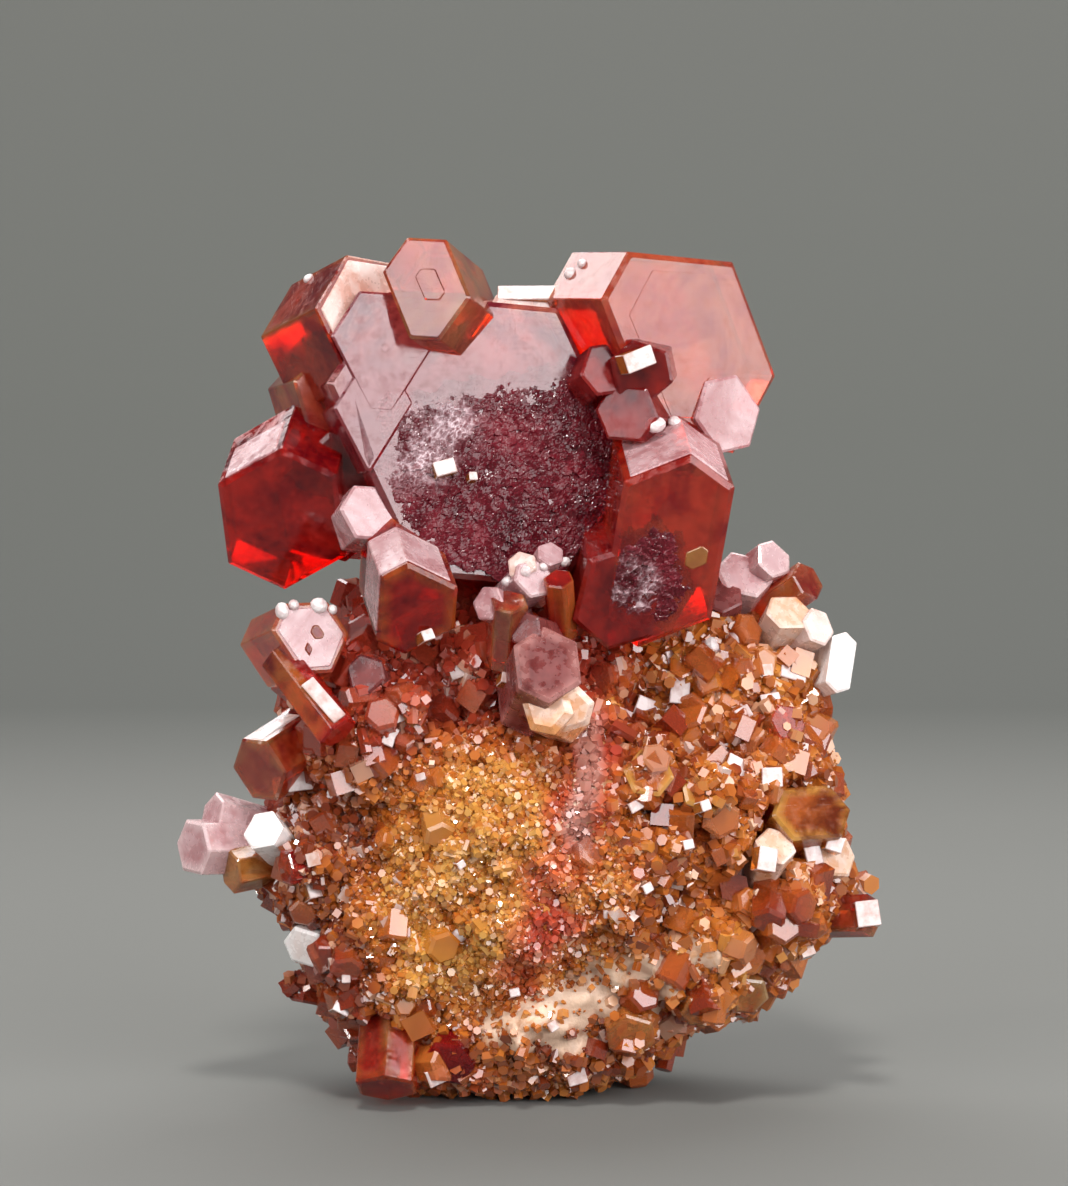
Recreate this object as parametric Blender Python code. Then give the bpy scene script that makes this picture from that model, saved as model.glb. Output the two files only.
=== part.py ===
"""Vanadinite on matrix: red hexagonal crystals standing on a rock with a crust of small crystals.

Every size below is in millimetres, and each finished mesh is scaled to metres. X runs to the
right, Y runs away from the front and Z runs up. The rock rests on a flat broken face at z = 0.
"""

from dataclasses import dataclass
import math
import random

import bmesh
import bpy
from mathutils import Matrix, Vector, noise

MM = 0.001
SOCKET_GAP = 0.3

# Overall sizes of the specimen
HEIGHT = 40.0
# Shift that brings the middle of the specimen's box over the origin
CENTRING = (0.07, -1.18, 0.0)
LUMP_SUBDIVISIONS = 4
ROCK_VOXEL = 0.8
ROCK_TRIANGLES = 1600
ROCK_SWELL = 0.55
ROCK_SWELL_PITCH = 3.2
ROCK_GRAIN = 0.28
ROCK_GRAIN_PITCH = 1.2

# The small crystals of the crust
CRUST_SEED = 11
CRUST_SPACING = 3.9
CRUST_REACH = (0.4, 0.9)
CRUST_PROUD = (0.35, 0.95)
CRUST_LENGTH = 2.6
CRUST_LEAN = 38.0
CRUST_UNEVEN = (0.85, 1.15)
CRUST_LOWEST = 1.6
# Share by which a lump is swollen when a crystal is tested for standing free of it
CRUST_FREE = 1.04
# Space that a small crystal keeps from the larger ones
CRUST_SPARE = 0.35

# The etched lower half of the main crystal's face
PIT_SEED = 5
PIT_COUNT = 26
PIT_REACH = (0.28, 0.6)
PIT_DEPTH = (0.12, 0.32)
PIT_ACROSS = (-4.2, 4.6)
PIT_UPWARD = (-5.6, 1.4)
PIT_TWIST = 6.0
PIT_START = 0.5
# Limits that keep the pits off the face's lower left and lower right corners
PIT_LEFT_LIMIT = -6.4
PIT_RIGHT_LIMIT = 8.6

SIDES = 6
SIDE_ANGLE = 60.0
# Depth of a crystal's sloping rim against its width
RIM_SLOPE = 0.7


@dataclass(frozen=True)
class Crystal:
    """A hexagonal prism, given by the end face that is turned to the front.

    face is the centre of that end, heading the angle that the axis turns to the right of the
    front, rise the angle that it climbs, turn the direction of the first side about the axis,
    reach the distance from the axis to each side, and rim the width of the sloping faces round
    both ends.
    """

    face: tuple
    heading: float
    rise: float
    turn: float
    reach: tuple
    length: float
    rim: float = 0.0


@dataclass(frozen=True)
class Lump:
    """One rounded mass of the rock: its centre and its three half widths."""

    centre: tuple
    radii: tuple


LUMPS = [
    Lump((1.0, 1.0, 12.0), (10.5, 8.6, 8.0)),
    Lump((-1.5, 2.8, 19.0), (8.6, 6.6, 6.6)),
    Lump((-7.0, 0.8, 17.0), (4.6, 6.2, 5.2)),
    Lump((-8.6, 0.4, 11.2), (4.4, 5.2, 3.6)),
    Lump((-5.8, 0.5, 7.2), (5.0, 6.2, 5.4)),
    Lump((-5.0, 0.6, 3.4), (3.4, 4.6, 3.8)),
    Lump((0.2, 1.0, 4.0), (6.8, 6.4, 4.8)),
    Lump((6.4, 0.5, 7.2), (6.2, 6.4, 4.0)),
    Lump((10.6, 0.0, 9.6), (4.9, 5.4, 3.2)),
    Lump((9.4, 0.5, 14.0), (4.9, 6.4, 4.4)),
    Lump((8.8, 2.2, 18.9), (5.0, 5.4, 4.4)),
    Lump((0.0, 5.2, 12.0), (8.4, 4.6, 7.4)),
]

MAIN = Crystal((-2.06, -3.6, 31.28), 12, 4, 25, (5.6, 5.9, 7.2, 5.7, 6.9, 7.0), 8.5, 0.25)

CLUSTER = [
    MAIN,
    # upper left prism
    Crystal((-6.9, -3.03, 36.2), 34, 13, 22, (2.9, 2.95, 3.0, 2.9, 3.2, 2.9), 5.2, 0.08),
    # growths along the left edge of the main face
    Crystal((-7.17, -4.72, 32.1), 13, 5, 27, (1.9, 2.7, 1.6, 1.5, 2.7, 1.4), 5.0, 0.12),
    Crystal((-7.06, -4.5, 34.95), 12, 4, 27, (2.3, 2.6, 2.0, 1.5, 2.8, 2.2), 4.4, 0.1),
    # growth behind the upper left prism that carries it on the left crystal
    Crystal((-8.2, -1.4, 32.6), 20, 4, 16, (2.6, 2.9, 2.7, 2.5, 2.9, 2.6), 4.6, 0.15),
    # small crystal standing proud of the main face
    Crystal((-4.5, -5.9, 37.5), -17, 12, 26, (1.6, 2.45, 2.5, 1.7, 2.2, 1.75), 5.5, 0.15),
    # white ledge along the top
    Crystal((0.0, -2.2, 36.2), 8, 14, 30, (2.0, 1.4, 2.0, 2.0, 2.0, 2.0), 5.0, 0.2),
    # upper right crystal
    Crystal((7.41, -2.9, 34.99), 34, -2, 27, (3.95, 4.15, 5.4, 3.5, 4.65, 4.9), 4.7, 0.25),
    # stepped growth low on the upper right crystal
    Crystal((9.2, -1.87, 32.0), 34, 2, 40, (1.6, 1.7, 1.7, 1.6, 1.7, 1.7), 4.5, 0.12),
    # gap crystals between the main and the upper right crystal
    Crystal((3.5, -4.5, 34.0), 16, 12, 38, (1.1, 1.2, 1.1, 1.15, 1.1, 1.2), 4.5, 0.12),
    Crystal((5.05, -5.0, 33.85), -8, -10, 10, (1.35, 1.3, 1.4, 1.3, 1.35, 1.25), 5.0, 0.12),
    Crystal((4.4, -4.9, 32.0), -20, 6, 25, (1.3, 1.25, 1.4, 1.3, 1.2, 1.3), 5.0, 0.12),
    # lower right crystal and the smaller growth at its side
    Crystal((6.0, -6.6, 25.7), 4, -20, -7, (2.7, 4.4, 3.9, 2.3, 4.3, 3.9), 7.4, 0.25),
    Crystal((4.1, -6.0, 23.6), 2, -18, -12, (1.8, 2.4, 2.3, 1.9, 2.2, 2.2), 6.0, 0.2),
    # left crystal
    Crystal((-11.4, -3.4, 27.1), -6, -28, 1, (2.75, 3.4, 3.05, 2.8, 3.4, 3.1), 4.6, 0.22),
    # growth that joins the left crystal to the main one
    Crystal((-8.9, -2.8, 28.0), 6, -6, 12, (2.4, 2.9, 2.6, 2.2, 2.6, 2.4), 5.5, 0.2),
    # small hexagon beside the main face
    Crystal((-7.25, -4.9, 27.5), 18, 14, 26, (1.2, 1.25, 1.3, 1.2, 1.2, 1.3), 4.5, 0.12),
    # hidden growths behind
    Crystal((-2.5, 0.5, 27.2), 10, 12, 10, (4.2, 4.0, 4.4, 4.0, 4.6, 4.2), 7.0, 0.25),
    Crystal((3.5, 1.2, 29.8), 30, 10, 18, (3.2, 3.4, 3.0, 3.2, 3.4, 3.0), 6.0, 0.2),
]

GROUPS = {
    "front_red_crystal": [
        Crystal((-5.2, -7.0, 23.2), 14, -28, 2, (1.95, 1.9, 2.3, 1.6, 2.2, 1.95), 5.0, 0.18),
    ],
    "front_small_crystals": [
        Crystal((0.2, -6.2, 24.6), 20, 20, 40, (0.8, 0.8, 0.9, 0.8, 0.85, 0.8), 4.0, 0.1),
        Crystal((-0.95, -6.9, 23.6), 8, 58, 5, (0.8, 0.85, 0.8, 0.75, 0.85, 0.8), 3.4, 0.1),
        Crystal((1.3, -6.5, 24.6), -6, 52, 20, (0.6, 0.65, 0.6, 0.65, 0.6, 0.6), 3.4, 0.1),
        Crystal((-0.4, -6.0, 25.2), -18, 28, 15, (0.65, 0.6, 0.65, 0.6, 0.65, 0.6), 3.2, 0.08),
        Crystal((0.95, -5.7, 25.7), 24, 34, 48, (0.6, 0.55, 0.6, 0.6, 0.55, 0.6), 3.2, 0.08),
        Crystal((-1.9, -6.7, 23.5), -28, 16, 30, (0.7, 0.75, 0.7, 0.7, 0.75, 0.7), 3.2, 0.08),
        Crystal((-0.2, -7.2, 22.3), -25, 10, 12, (0.7, 0.75, 0.7, 0.75, 0.7, 0.7), 3.6, 0.08),
    ],
    "front_pink_crystal": [
        Crystal((0.75, -8.0, 20.9), 12, 26, 1, (1.5, 1.6, 1.5, 1.4, 1.7, 1.6), 4.6, 0.16),
        Crystal((0.7, -8.1, 18.9), -14, 12, 20, (1.1, 1.0, 1.1, 1.0, 1.1, 1.1), 3.8, 0.3),
        Crystal((1.9, -8.0, 18.8), 16, -6, 46, (0.95, 1.0, 0.9, 1.0, 0.95, 1.0), 3.8, 0.3),
    ],
    "lower_left_crystals": [
        Crystal((-9.9, -5.8, 21.95), 24, 12, 31, (1.6, 1.55, 1.8, 1.45, 1.7, 1.6), 4.6, 0.14),
        Crystal((-8.6, -7.0, 17.6), 58, -46, 8, (0.9, 0.85, 0.95, 0.9, 0.85, 0.95), 4.8, 0.12),
    ],
    "left_block_crystal": [
        Crystal((-12.5, -3.6, 15.6), -34, -18, 28, (1.4, 1.5, 1.35, 1.4, 1.5, 1.35), 4.8, 0.14),
    ],
    "far_left_crystals": [
        Crystal((-15.7, -2.4, 11.9), -52, 4, 29, (1.3, 1.2, 1.3, 1.3, 1.2, 1.3), 6.4, 0.14),
        Crystal((-14.9, -1.4, 13.3), -60, 18, 12, (1.0, 0.95, 1.0, 1.0, 0.95, 1.0), 5.6, 0.1),
        Crystal((-12.3, -3.9, 12.9), -24, 30, 44, (0.85, 0.9, 0.85, 0.9, 0.85, 0.9), 4.2, 0.1),
        Crystal((-13.9, -2.8, 10.8), -56, -6, 5, (0.9, 0.95, 0.9, 0.9, 0.95, 0.9), 5.2, 0.1),
    ],
    "left_white_crystal": [
        Crystal((-10.5, -2.6, 7.2), -28, -14, 18, (1.05, 0.9, 1.0, 1.05, 0.9, 1.0), 4.6, 0.14),
    ],
    "bottom_left_crystal": [
        Crystal((-6.6, -4.7, 1.0), -4, -58, 2, (1.3, 1.4, 1.3, 1.35, 1.4, 1.3), 4.2, 0.14),
    ],
    "bottom_right_crystal": [
        Crystal((10.2, -3.2, 5.0), 16, -22, 20, (0.85, 0.9, 0.9, 0.85, 0.9, 0.85), 4.8, 0.12),
    ],
    "right_edge_crystal": [
        Crystal((15.9, -2.4, 8.7), 56, 6, 6, (0.9, 0.9, 0.9, 0.9, 0.9, 0.9), 4.8, 0.12),
    ],
    "right_tabular_crystals": [
        Crystal((12.9, -4.6, 13.8), 18, 30, 32, (1.7, 1.3, 1.7, 1.7, 1.3, 1.7), 4.6, 0.14),
        Crystal((11.2, -5.6, 12.4), 16, 40, 10, (0.85, 0.9, 0.85, 0.85, 0.9, 0.85), 4.4, 0.1),
        Crystal((14.2, -3.4, 11.6), 44, 14, 22, (1.15, 0.9, 1.15, 1.1, 0.9, 1.1), 4.4, 0.12),
    ],
    "right_rear_crystals": [
        Crystal((10.1, 0.2, 24.5), 14, 34, 14, (1.25, 1.1, 1.2, 1.25, 1.1, 1.2), 5.0, 0.14),
        Crystal((11.5, 0.3, 25.2), 34, 26, 42, (0.85, 0.9, 0.85, 0.9, 0.85, 0.9), 4.8, 0.1),
        Crystal((13.1, 0.2, 24.2), 46, 30, 8, (0.9, 0.9, 0.85, 0.9, 0.9, 0.85), 5.4, 0.1),
        Crystal((12.1, -1.2, 22.8), 20, 40, 30, (1.0, 0.9, 1.0, 1.05, 0.9, 1.0), 4.6, 0.12),
        Crystal((13.5, -1.1, 22.1), 36, 22, 10, (0.8, 0.85, 0.8, 0.8, 0.85, 0.8), 4.4, 0.1),
        Crystal((14.6, -0.9, 20.4), 24, 12, -16, (0.65, 1.3, 1.3, 0.65, 1.3, 1.3), 4.8, 0.12),
        Crystal((9.0, -0.8, 23.5), 4, 44, 0, (0.9, 0.9, 0.85, 0.9, 0.9, 0.85), 4.4, 0.1),
    ],
    "rear_red_crystals": [
        Crystal((3.4, 10.4, 17.5), 168, 20, 12, (2.0, 1.8, 1.9, 2.0, 1.8, 1.9), 5.0, 0.2),
        Crystal((0.4, 10.2, 19.2), 186, 32, 30, (1.4, 1.5, 1.4, 1.5, 1.4, 1.5), 5.0, 0.16),
        Crystal((3.2, 9.6, 20.6), 170, 48, 4, (1.2, 1.3, 1.2, 1.3, 1.2, 1.3), 4.8, 0.14),
    ],
}

# Crystals of the crust that are large enough to be told apart; they are part of the rock
STANDING = [
    # brown crystals at the right
    Crystal((5.4, -6.6, 15.8), 8, 24, 20, (1.0, 1.1, 1.0, 1.05, 1.0, 1.0), 3.2, 0.12),
    Crystal((8.0, -6.4, 15.1), 14, 28, 5, (1.15, 1.0, 1.2, 1.1, 1.05, 1.2), 3.4, 0.14),
    Crystal((11.9, -3.4, 17.8), 34, 22, 18, (0.9, 0.85, 0.9, 0.9, 0.85, 0.9), 3.4, 0.1),
    # bars at the left
    Crystal((-11.2, -5.0, 11.3), -62, -4, 30, (0.8, 0.75, 0.8, 0.8, 0.75, 0.8), 4.4, 0.1),
    Crystal((-5.3, -5.6, 18.9), 5, 48, 0, (0.5, 0.55, 0.5, 0.5, 0.55, 0.5), 2.8, 0.08),
    Crystal((-7.5, -5.2, 20.2), -12, 10, 15, (0.85, 0.8, 0.85, 0.8, 0.85, 0.8), 3.4, 0.1),
    # crystals along the foot
    Crystal((4.6, -5.0, 3.5), 6, -22, 10, (1.1, 1.0, 1.1, 1.05, 1.0, 1.1), 3.4, 0.12),
    Crystal((-3.8, -4.7, 2.1), -10, -26, 25, (1.1, 1.15, 1.1, 1.1, 1.05, 1.1), 3.4, 0.12),
    Crystal((7.8, -5.1, 4.7), 14, -24, 40, (0.8, 0.75, 0.8, 0.8, 0.75, 0.8), 3.2, 0.1),
]

CRYSTAL_RED = (0.42, 0.03, 0.02)
CRYSTAL_ORANGE = (0.55, 0.13, 0.03)
CRYSTAL_PINK = (0.78, 0.42, 0.38)
CRYSTAL_WHITE = (0.86, 0.78, 0.74)
CRYSTAL_BROWN = (0.45, 0.2, 0.06)
CRUST_AMBER = (0.5, 0.2, 0.04)

NODE_COLOURS = {
    "front_red_crystal": CRYSTAL_RED,
    "front_small_crystals": CRYSTAL_PINK,
    "front_pink_crystal": CRYSTAL_PINK,
    "lower_left_crystals": CRYSTAL_WHITE,
    "left_block_crystal": CRYSTAL_RED,
    "far_left_crystals": CRYSTAL_PINK,
    "left_white_crystal": CRYSTAL_WHITE,
    "bottom_left_crystal": CRYSTAL_RED,
    "bottom_right_crystal": CRYSTAL_ORANGE,
    "right_edge_crystal": CRYSTAL_RED,
    "right_tabular_crystals": CRYSTAL_BROWN,
    "right_rear_crystals": CRYSTAL_PINK,
    "rear_red_crystals": CRYSTAL_RED,
}
ROCK_ROUGHNESS = 0.45
CLUSTER_ROUGHNESS = 0.2
CRYSTAL_ROUGHNESS = 0.25


def clear_scene():
    """Takes every object out of the scene."""
    for item in list(bpy.data.objects):
        bpy.data.objects.remove(item, do_unlink=True)


def add_object(name, mesh):
    """Links a new object with this mesh."""
    item = bpy.data.objects.new(name, mesh)
    bpy.context.scene.collection.objects.link(item)
    return item


def evaluated_mesh(item):
    """The mesh of an object with its modifiers carried out."""
    bpy.context.view_layer.update()
    graph = bpy.context.evaluated_depsgraph_get()
    return bpy.data.meshes.new_from_object(item.evaluated_get(graph))


def combined(base_mesh, tool_meshes, operation):
    """Unites or cuts the base with each tool in turn."""
    base = add_object("base", base_mesh)
    tools = [add_object("tool", mesh) for mesh in tool_meshes]
    for tool in tools:
        step = base.modifiers.new("step", "BOOLEAN")
        step.operation = operation
        step.solver = "EXACT"
        step.object = tool
    result = evaluated_mesh(base)
    for item in [base] + tools:
        bpy.data.objects.remove(item, do_unlink=True)
    return result


def main_body(mesh):
    """Keeps the largest body of a cut piece and drops the chips that the cut left loose."""
    shape = bmesh.new()
    shape.from_mesh(mesh)
    left = set(shape.verts)
    bodies = []
    while left:
        reached = [left.pop()]
        body = []
        while reached:
            vertex = reached.pop()
            body.append(vertex)
            for edge in vertex.link_edges:
                other = edge.other_vert(vertex)
                if other in left:
                    left.remove(other)
                    reached.append(other)
        bodies.append(body)
    bodies.sort(key=body_size)
    for body in bodies[:-1]:
        bmesh.ops.delete(shape, geom=body, context="VERTS")
    shape.to_mesh(mesh)
    shape.free()
    return mesh


def body_size(body):
    """Length of a body's bounding diagonal."""
    low = Vector(min(vertex.co[axis] for vertex in body) for axis in range(3))
    high = Vector(max(vertex.co[axis] for vertex in body) for axis in range(3))
    return (high - low).length


def axes(crystal):
    """Right, up and outward directions of a crystal's end face."""
    heading = math.radians(crystal.heading)
    rise = math.radians(crystal.rise)
    right = Vector((math.cos(heading), math.sin(heading), 0.0))
    outward = Vector((
        math.sin(heading) * math.cos(rise),
        -math.cos(heading) * math.cos(rise),
        math.sin(rise),
    ))
    return right, outward.cross(right), outward


def outline(reach, turn):
    """Corners of a six-sided outline whose corners all have 120 degrees."""
    corners = []
    step = math.radians(SIDE_ANGLE)
    for side in range(SIDES):
        first = math.radians(turn) + step * side
        second = first + step
        near = reach[side]
        far = reach[(side + 1) % SIDES]
        x = (near * math.sin(second) - far * math.sin(first)) / math.sin(step)
        y = (far * math.cos(first) - near * math.cos(second)) / math.sin(step)
        corners.append((x, y))
    return corners


def prism(crystal, grow=0.0):
    """Mesh of a crystal, made larger on every side by grow."""
    right, up, outward = axes(crystal)
    centre = Vector(crystal.face)
    rings = [(0.0, grow), (0.0, -crystal.length - grow)]
    if crystal.rim and not grow:
        slope = crystal.rim * RIM_SLOPE
        rings = [
            (crystal.rim, 0.0),
            (0.0, -slope),
            (0.0, -crystal.length + slope),
            (crystal.rim, -crystal.length),
        ]
    mesh = bpy.data.meshes.new("crystal")
    shape = bmesh.new()
    loops = []
    for inset, depth in rings:
        reach = [distance + grow - inset for distance in crystal.reach]
        corners = outline(reach, crystal.turn)
        loops.append([shape.verts.new(centre + right * x + up * y + outward * depth) for x, y in corners])
    shape.faces.new(loops[0])
    shape.faces.new(list(reversed(loops[-1])))
    for upper, lower in zip(loops, loops[1:]):
        for side in range(SIDES):
            after = (side + 1) % SIDES
            shape.faces.new((upper[side], lower[side], lower[after], upper[after]))
    shape.to_mesh(mesh)
    shape.free()
    return mesh


def inside_lumps(point, skip):
    """Whether a point lies inside any lump but the one skipped, or just outside it."""
    for index, lump in enumerate(LUMPS):
        if index == skip:
            continue
        offset = [(p - c) / (r * CRUST_FREE) for p, c, r in zip(point, lump.centre, lump.radii)]
        if sum(part * part for part in offset) < 1.0:
            return True
    return False


def rock_mesh():
    """The rock: its lumps run together, roughened, thinned and cut flat where it rests."""
    shape = bmesh.new()
    for lump in LUMPS:
        placing = Matrix.Translation(lump.centre) @ Matrix.Diagonal((*lump.radii, 1.0))
        bmesh.ops.create_icosphere(shape, subdivisions=LUMP_SUBDIVISIONS, radius=1.0, matrix=placing)
    mesh = bpy.data.meshes.new("rock")
    shape.to_mesh(mesh)
    shape.free()
    rock = add_object("rock", mesh)
    join = rock.modifiers.new("join", "REMESH")
    join.mode = "VOXEL"
    join.voxel_size = ROCK_VOXEL
    rounded = evaluated_mesh(rock)
    normals = [vertex.normal.copy() for vertex in rounded.vertices]
    for vertex, normal in zip(rounded.vertices, normals):
        swell = noise.noise(vertex.co / ROCK_SWELL_PITCH) * ROCK_SWELL
        grain = noise.noise(vertex.co / ROCK_GRAIN_PITCH) * ROCK_GRAIN
        vertex.co += normal * (swell + grain)
    rock.modifiers.clear()
    rock.data = rounded
    thin = rock.modifiers.new("thin", "DECIMATE")
    thin.ratio = ROCK_TRIANGLES / (2 * len(rounded.polygons))
    thinned = evaluated_mesh(rock)
    bpy.data.objects.remove(rock, do_unlink=True)
    floor = bmesh.new()
    bmesh.ops.create_cube(floor, size=HEIGHT * 2, matrix=Matrix.Translation((0, 0, -HEIGHT)))
    below = bpy.data.meshes.new("below")
    floor.to_mesh(below)
    floor.free()
    return combined(thinned, [below], "DIFFERENCE")


def crust_crystals():
    """Small crystals spread over the lumps by a spiral, each leaning its own way."""
    dice = random.Random(CRUST_SEED)
    golden = math.pi * (3 - math.sqrt(5))
    crystals = []
    for index, lump in enumerate(LUMPS):
        wide, deep, high = lump.radii
        area = 4 * math.pi * ((wide * deep + deep * high + high * wide) / 3)
        count = int(area / CRUST_SPACING**2)
        for step in range(count):
            level = 1 - 2 * (step + 0.5) / count
            ring = math.sqrt(1 - level * level)
            spot = Vector((ring * math.cos(golden * step), ring * math.sin(golden * step), level))
            size = dice.uniform(*CRUST_REACH)
            proud = dice.uniform(*CRUST_PROUD)
            lean = [dice.uniform(-CRUST_LEAN, CRUST_LEAN) for _ in range(2)]
            turn = dice.uniform(0, SIDE_ANGLE)
            reach = tuple(size * dice.uniform(*CRUST_UNEVEN) for _ in range(SIDES))
            point = Vector(c + r * s for c, r, s in zip(lump.centre, lump.radii, spot))
            normal = Vector(s / r for s, r in zip(spot, lump.radii)).normalized()
            if inside_lumps(point, index) or point.z < CRUST_LOWEST:
                continue
            heading = math.degrees(math.atan2(normal.x, -normal.y)) + lean[0]
            rise = math.degrees(math.asin(normal.z)) + lean[1]
            crystal = Crystal((0, 0, 0), heading, rise, turn, reach, CRUST_LENGTH)
            face = point + normal * (proud * 0.5) + axes(crystal)[2] * proud * 0.5
            crystals.append(Crystal(tuple(face), heading, rise, turn, reach, CRUST_LENGTH))
    return crystals


def clear_of(crystals, others):
    """The crystals whose centres stay clear of the others' axes."""
    kept = []
    for crystal in crystals:
        spot = Vector(crystal.face)
        near = False
        for other in others:
            outward = axes(other)[2]
            start = Vector(other.face)
            along = min(max((spot - start).dot(-outward), 0.0), other.length)
            away = (spot - (start - outward * along)).length
            if away < max(other.reach) + max(crystal.reach) + CRUST_SPARE:
                near = True
        if not near:
            kept.append(crystal)
    return kept


def etch_pits(crystal):
    """Shallow six-sided pits over the lower half of a crystal's end face."""
    dice = random.Random(PIT_SEED)
    right, up, outward = axes(crystal)
    pits = []
    while len(pits) < PIT_COUNT:
        x = dice.uniform(*PIT_ACROSS)
        y = dice.uniform(*PIT_UPWARD)
        size = dice.uniform(*PIT_REACH)
        depth = dice.uniform(*PIT_DEPTH)
        if x + y < PIT_LEFT_LIMIT or x - y > PIT_RIGHT_LIMIT:
            continue
        face = Vector(crystal.face) + right * x + up * y + outward * PIT_START
        reach = (size,) * SIDES
        turn = crystal.turn + dice.uniform(-PIT_TWIST, PIT_TWIST)
        pits.append(Crystal(tuple(face), crystal.heading, crystal.rise, turn, reach, PIT_START + depth))
    return pits


def colour_material(name, colour, roughness):
    """A plain material with the piece's colour and roughness."""
    material = bpy.data.materials.new(name)
    material.use_nodes = True
    shader = material.node_tree.nodes["Principled BSDF"]
    shader.inputs["Base Color"].default_value = (*colour, 1.0)
    shader.inputs["Roughness"].default_value = roughness
    shader.inputs["Metallic"].default_value = 0.0
    return material


def finish(name, mesh, colour, roughness):
    """Makes the finished piece, centred and in metres, with its own material."""
    mesh.transform(Matrix.Scale(MM, 4) @ Matrix.Translation(CENTRING))
    mesh.materials.clear()
    mesh.materials.append(colour_material(name, colour, roughness))
    return add_object(name, mesh)


def fused(crystals):
    """One solid of crystals that grew into each other."""
    meshes = [prism(crystal) for crystal in crystals]
    return combined(meshes[0], meshes[1:], "UNION")


def build():
    """Builds the rock, the large cluster and the crystals that stand on their own."""
    clear_scene()
    standing = [crystal for group in GROUPS.values() for crystal in group]
    crust = clear_of(crust_crystals(), CLUSTER + standing + STANDING)
    rock = combined(rock_mesh(), [prism(crystal) for crystal in crust + STANDING], "UNION")
    sockets = [prism(crystal, SOCKET_GAP) for crystal in CLUSTER + standing]
    rock = main_body(combined(rock, sockets, "DIFFERENCE"))
    finish("matrix_rock", rock, CRUST_AMBER, ROCK_ROUGHNESS)
    cluster = fused(CLUSTER)
    cluster = combined(cluster, [prism(pit) for pit in etch_pits(MAIN)], "DIFFERENCE")
    finish("large_crystal_cluster", cluster, CRYSTAL_RED, CLUSTER_ROUGHNESS)
    earlier = list(CLUSTER)
    for name, crystals in GROUPS.items():
        spaces = [prism(crystal, SOCKET_GAP) for crystal in earlier]
        group = main_body(combined(fused(crystals), spaces, "DIFFERENCE"))
        finish(name, group, NODE_COLOURS[name], CRYSTAL_ROUGHNESS)
        earlier += crystals


build()
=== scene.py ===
"""Looks of a vanadinite specimen: red hexagonal crystals standing on an amber-crusted rock.

Sizes are in millimetres where they are named, and meshes are made in metres. X runs to the
right, Y runs away from the front and Z runs up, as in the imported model.
"""

from dataclasses import dataclass, field
from enum import Enum
import logging
import math
import random

import bmesh
import bpy
from mathutils import Matrix, Vector
from mathutils.bvhtree import BVHTree
from mathutils.kdtree import KDTree
import numpy as np


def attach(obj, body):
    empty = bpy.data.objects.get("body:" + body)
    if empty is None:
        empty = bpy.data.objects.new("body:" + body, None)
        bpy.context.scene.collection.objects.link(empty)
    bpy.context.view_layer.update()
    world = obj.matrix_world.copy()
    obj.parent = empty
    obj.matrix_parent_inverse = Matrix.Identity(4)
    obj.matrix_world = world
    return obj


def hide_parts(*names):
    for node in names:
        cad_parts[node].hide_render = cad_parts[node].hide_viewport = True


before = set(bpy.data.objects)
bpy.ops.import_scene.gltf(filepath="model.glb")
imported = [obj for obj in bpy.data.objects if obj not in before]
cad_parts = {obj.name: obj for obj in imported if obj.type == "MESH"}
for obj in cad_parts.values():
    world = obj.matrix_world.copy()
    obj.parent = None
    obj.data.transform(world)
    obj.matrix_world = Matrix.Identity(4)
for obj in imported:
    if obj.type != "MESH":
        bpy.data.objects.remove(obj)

LOG = logging.getLogger("specimen")
MM = 0.001
SIDES = 6
SIDE_ANGLE = 60.0
STEP_TWIST = 1.5
STEP_DEPTH = 0.5
STEP_RIM = 0.02
# Paler skins on side faces, a painted sheen where those faces catch the light: how proud they stand, their
# inset elsewhere and where they start
SHEEN_SKIN = 0.05
SHEEN_SKIN_INSET = 0.3
SHEEN_SKIN_START = 0.12
SHEEN_SKIN_LENGTH = 0.6
# Shift that brings the middle of the specimen's box over the origin, in millimetres
CENTRING = Vector((0.07, -1.18, 0.0))
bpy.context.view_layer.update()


class Look(Enum):
    """The finishes that a crystal can have."""

    MAIN = "main_red"
    DEEP = "deep_red"
    BRIGHT = "bright_red"
    ROSE = "rose"
    PINK = "pink"
    PALE = "pale"
    WHITE = "white"
    AMBER = "amber"
    DARK = "dark_red"
    SHADED = "shaded_red"
    TABULAR = "brown_with_yellow_rims"
    ALTERED = "altered"


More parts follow.
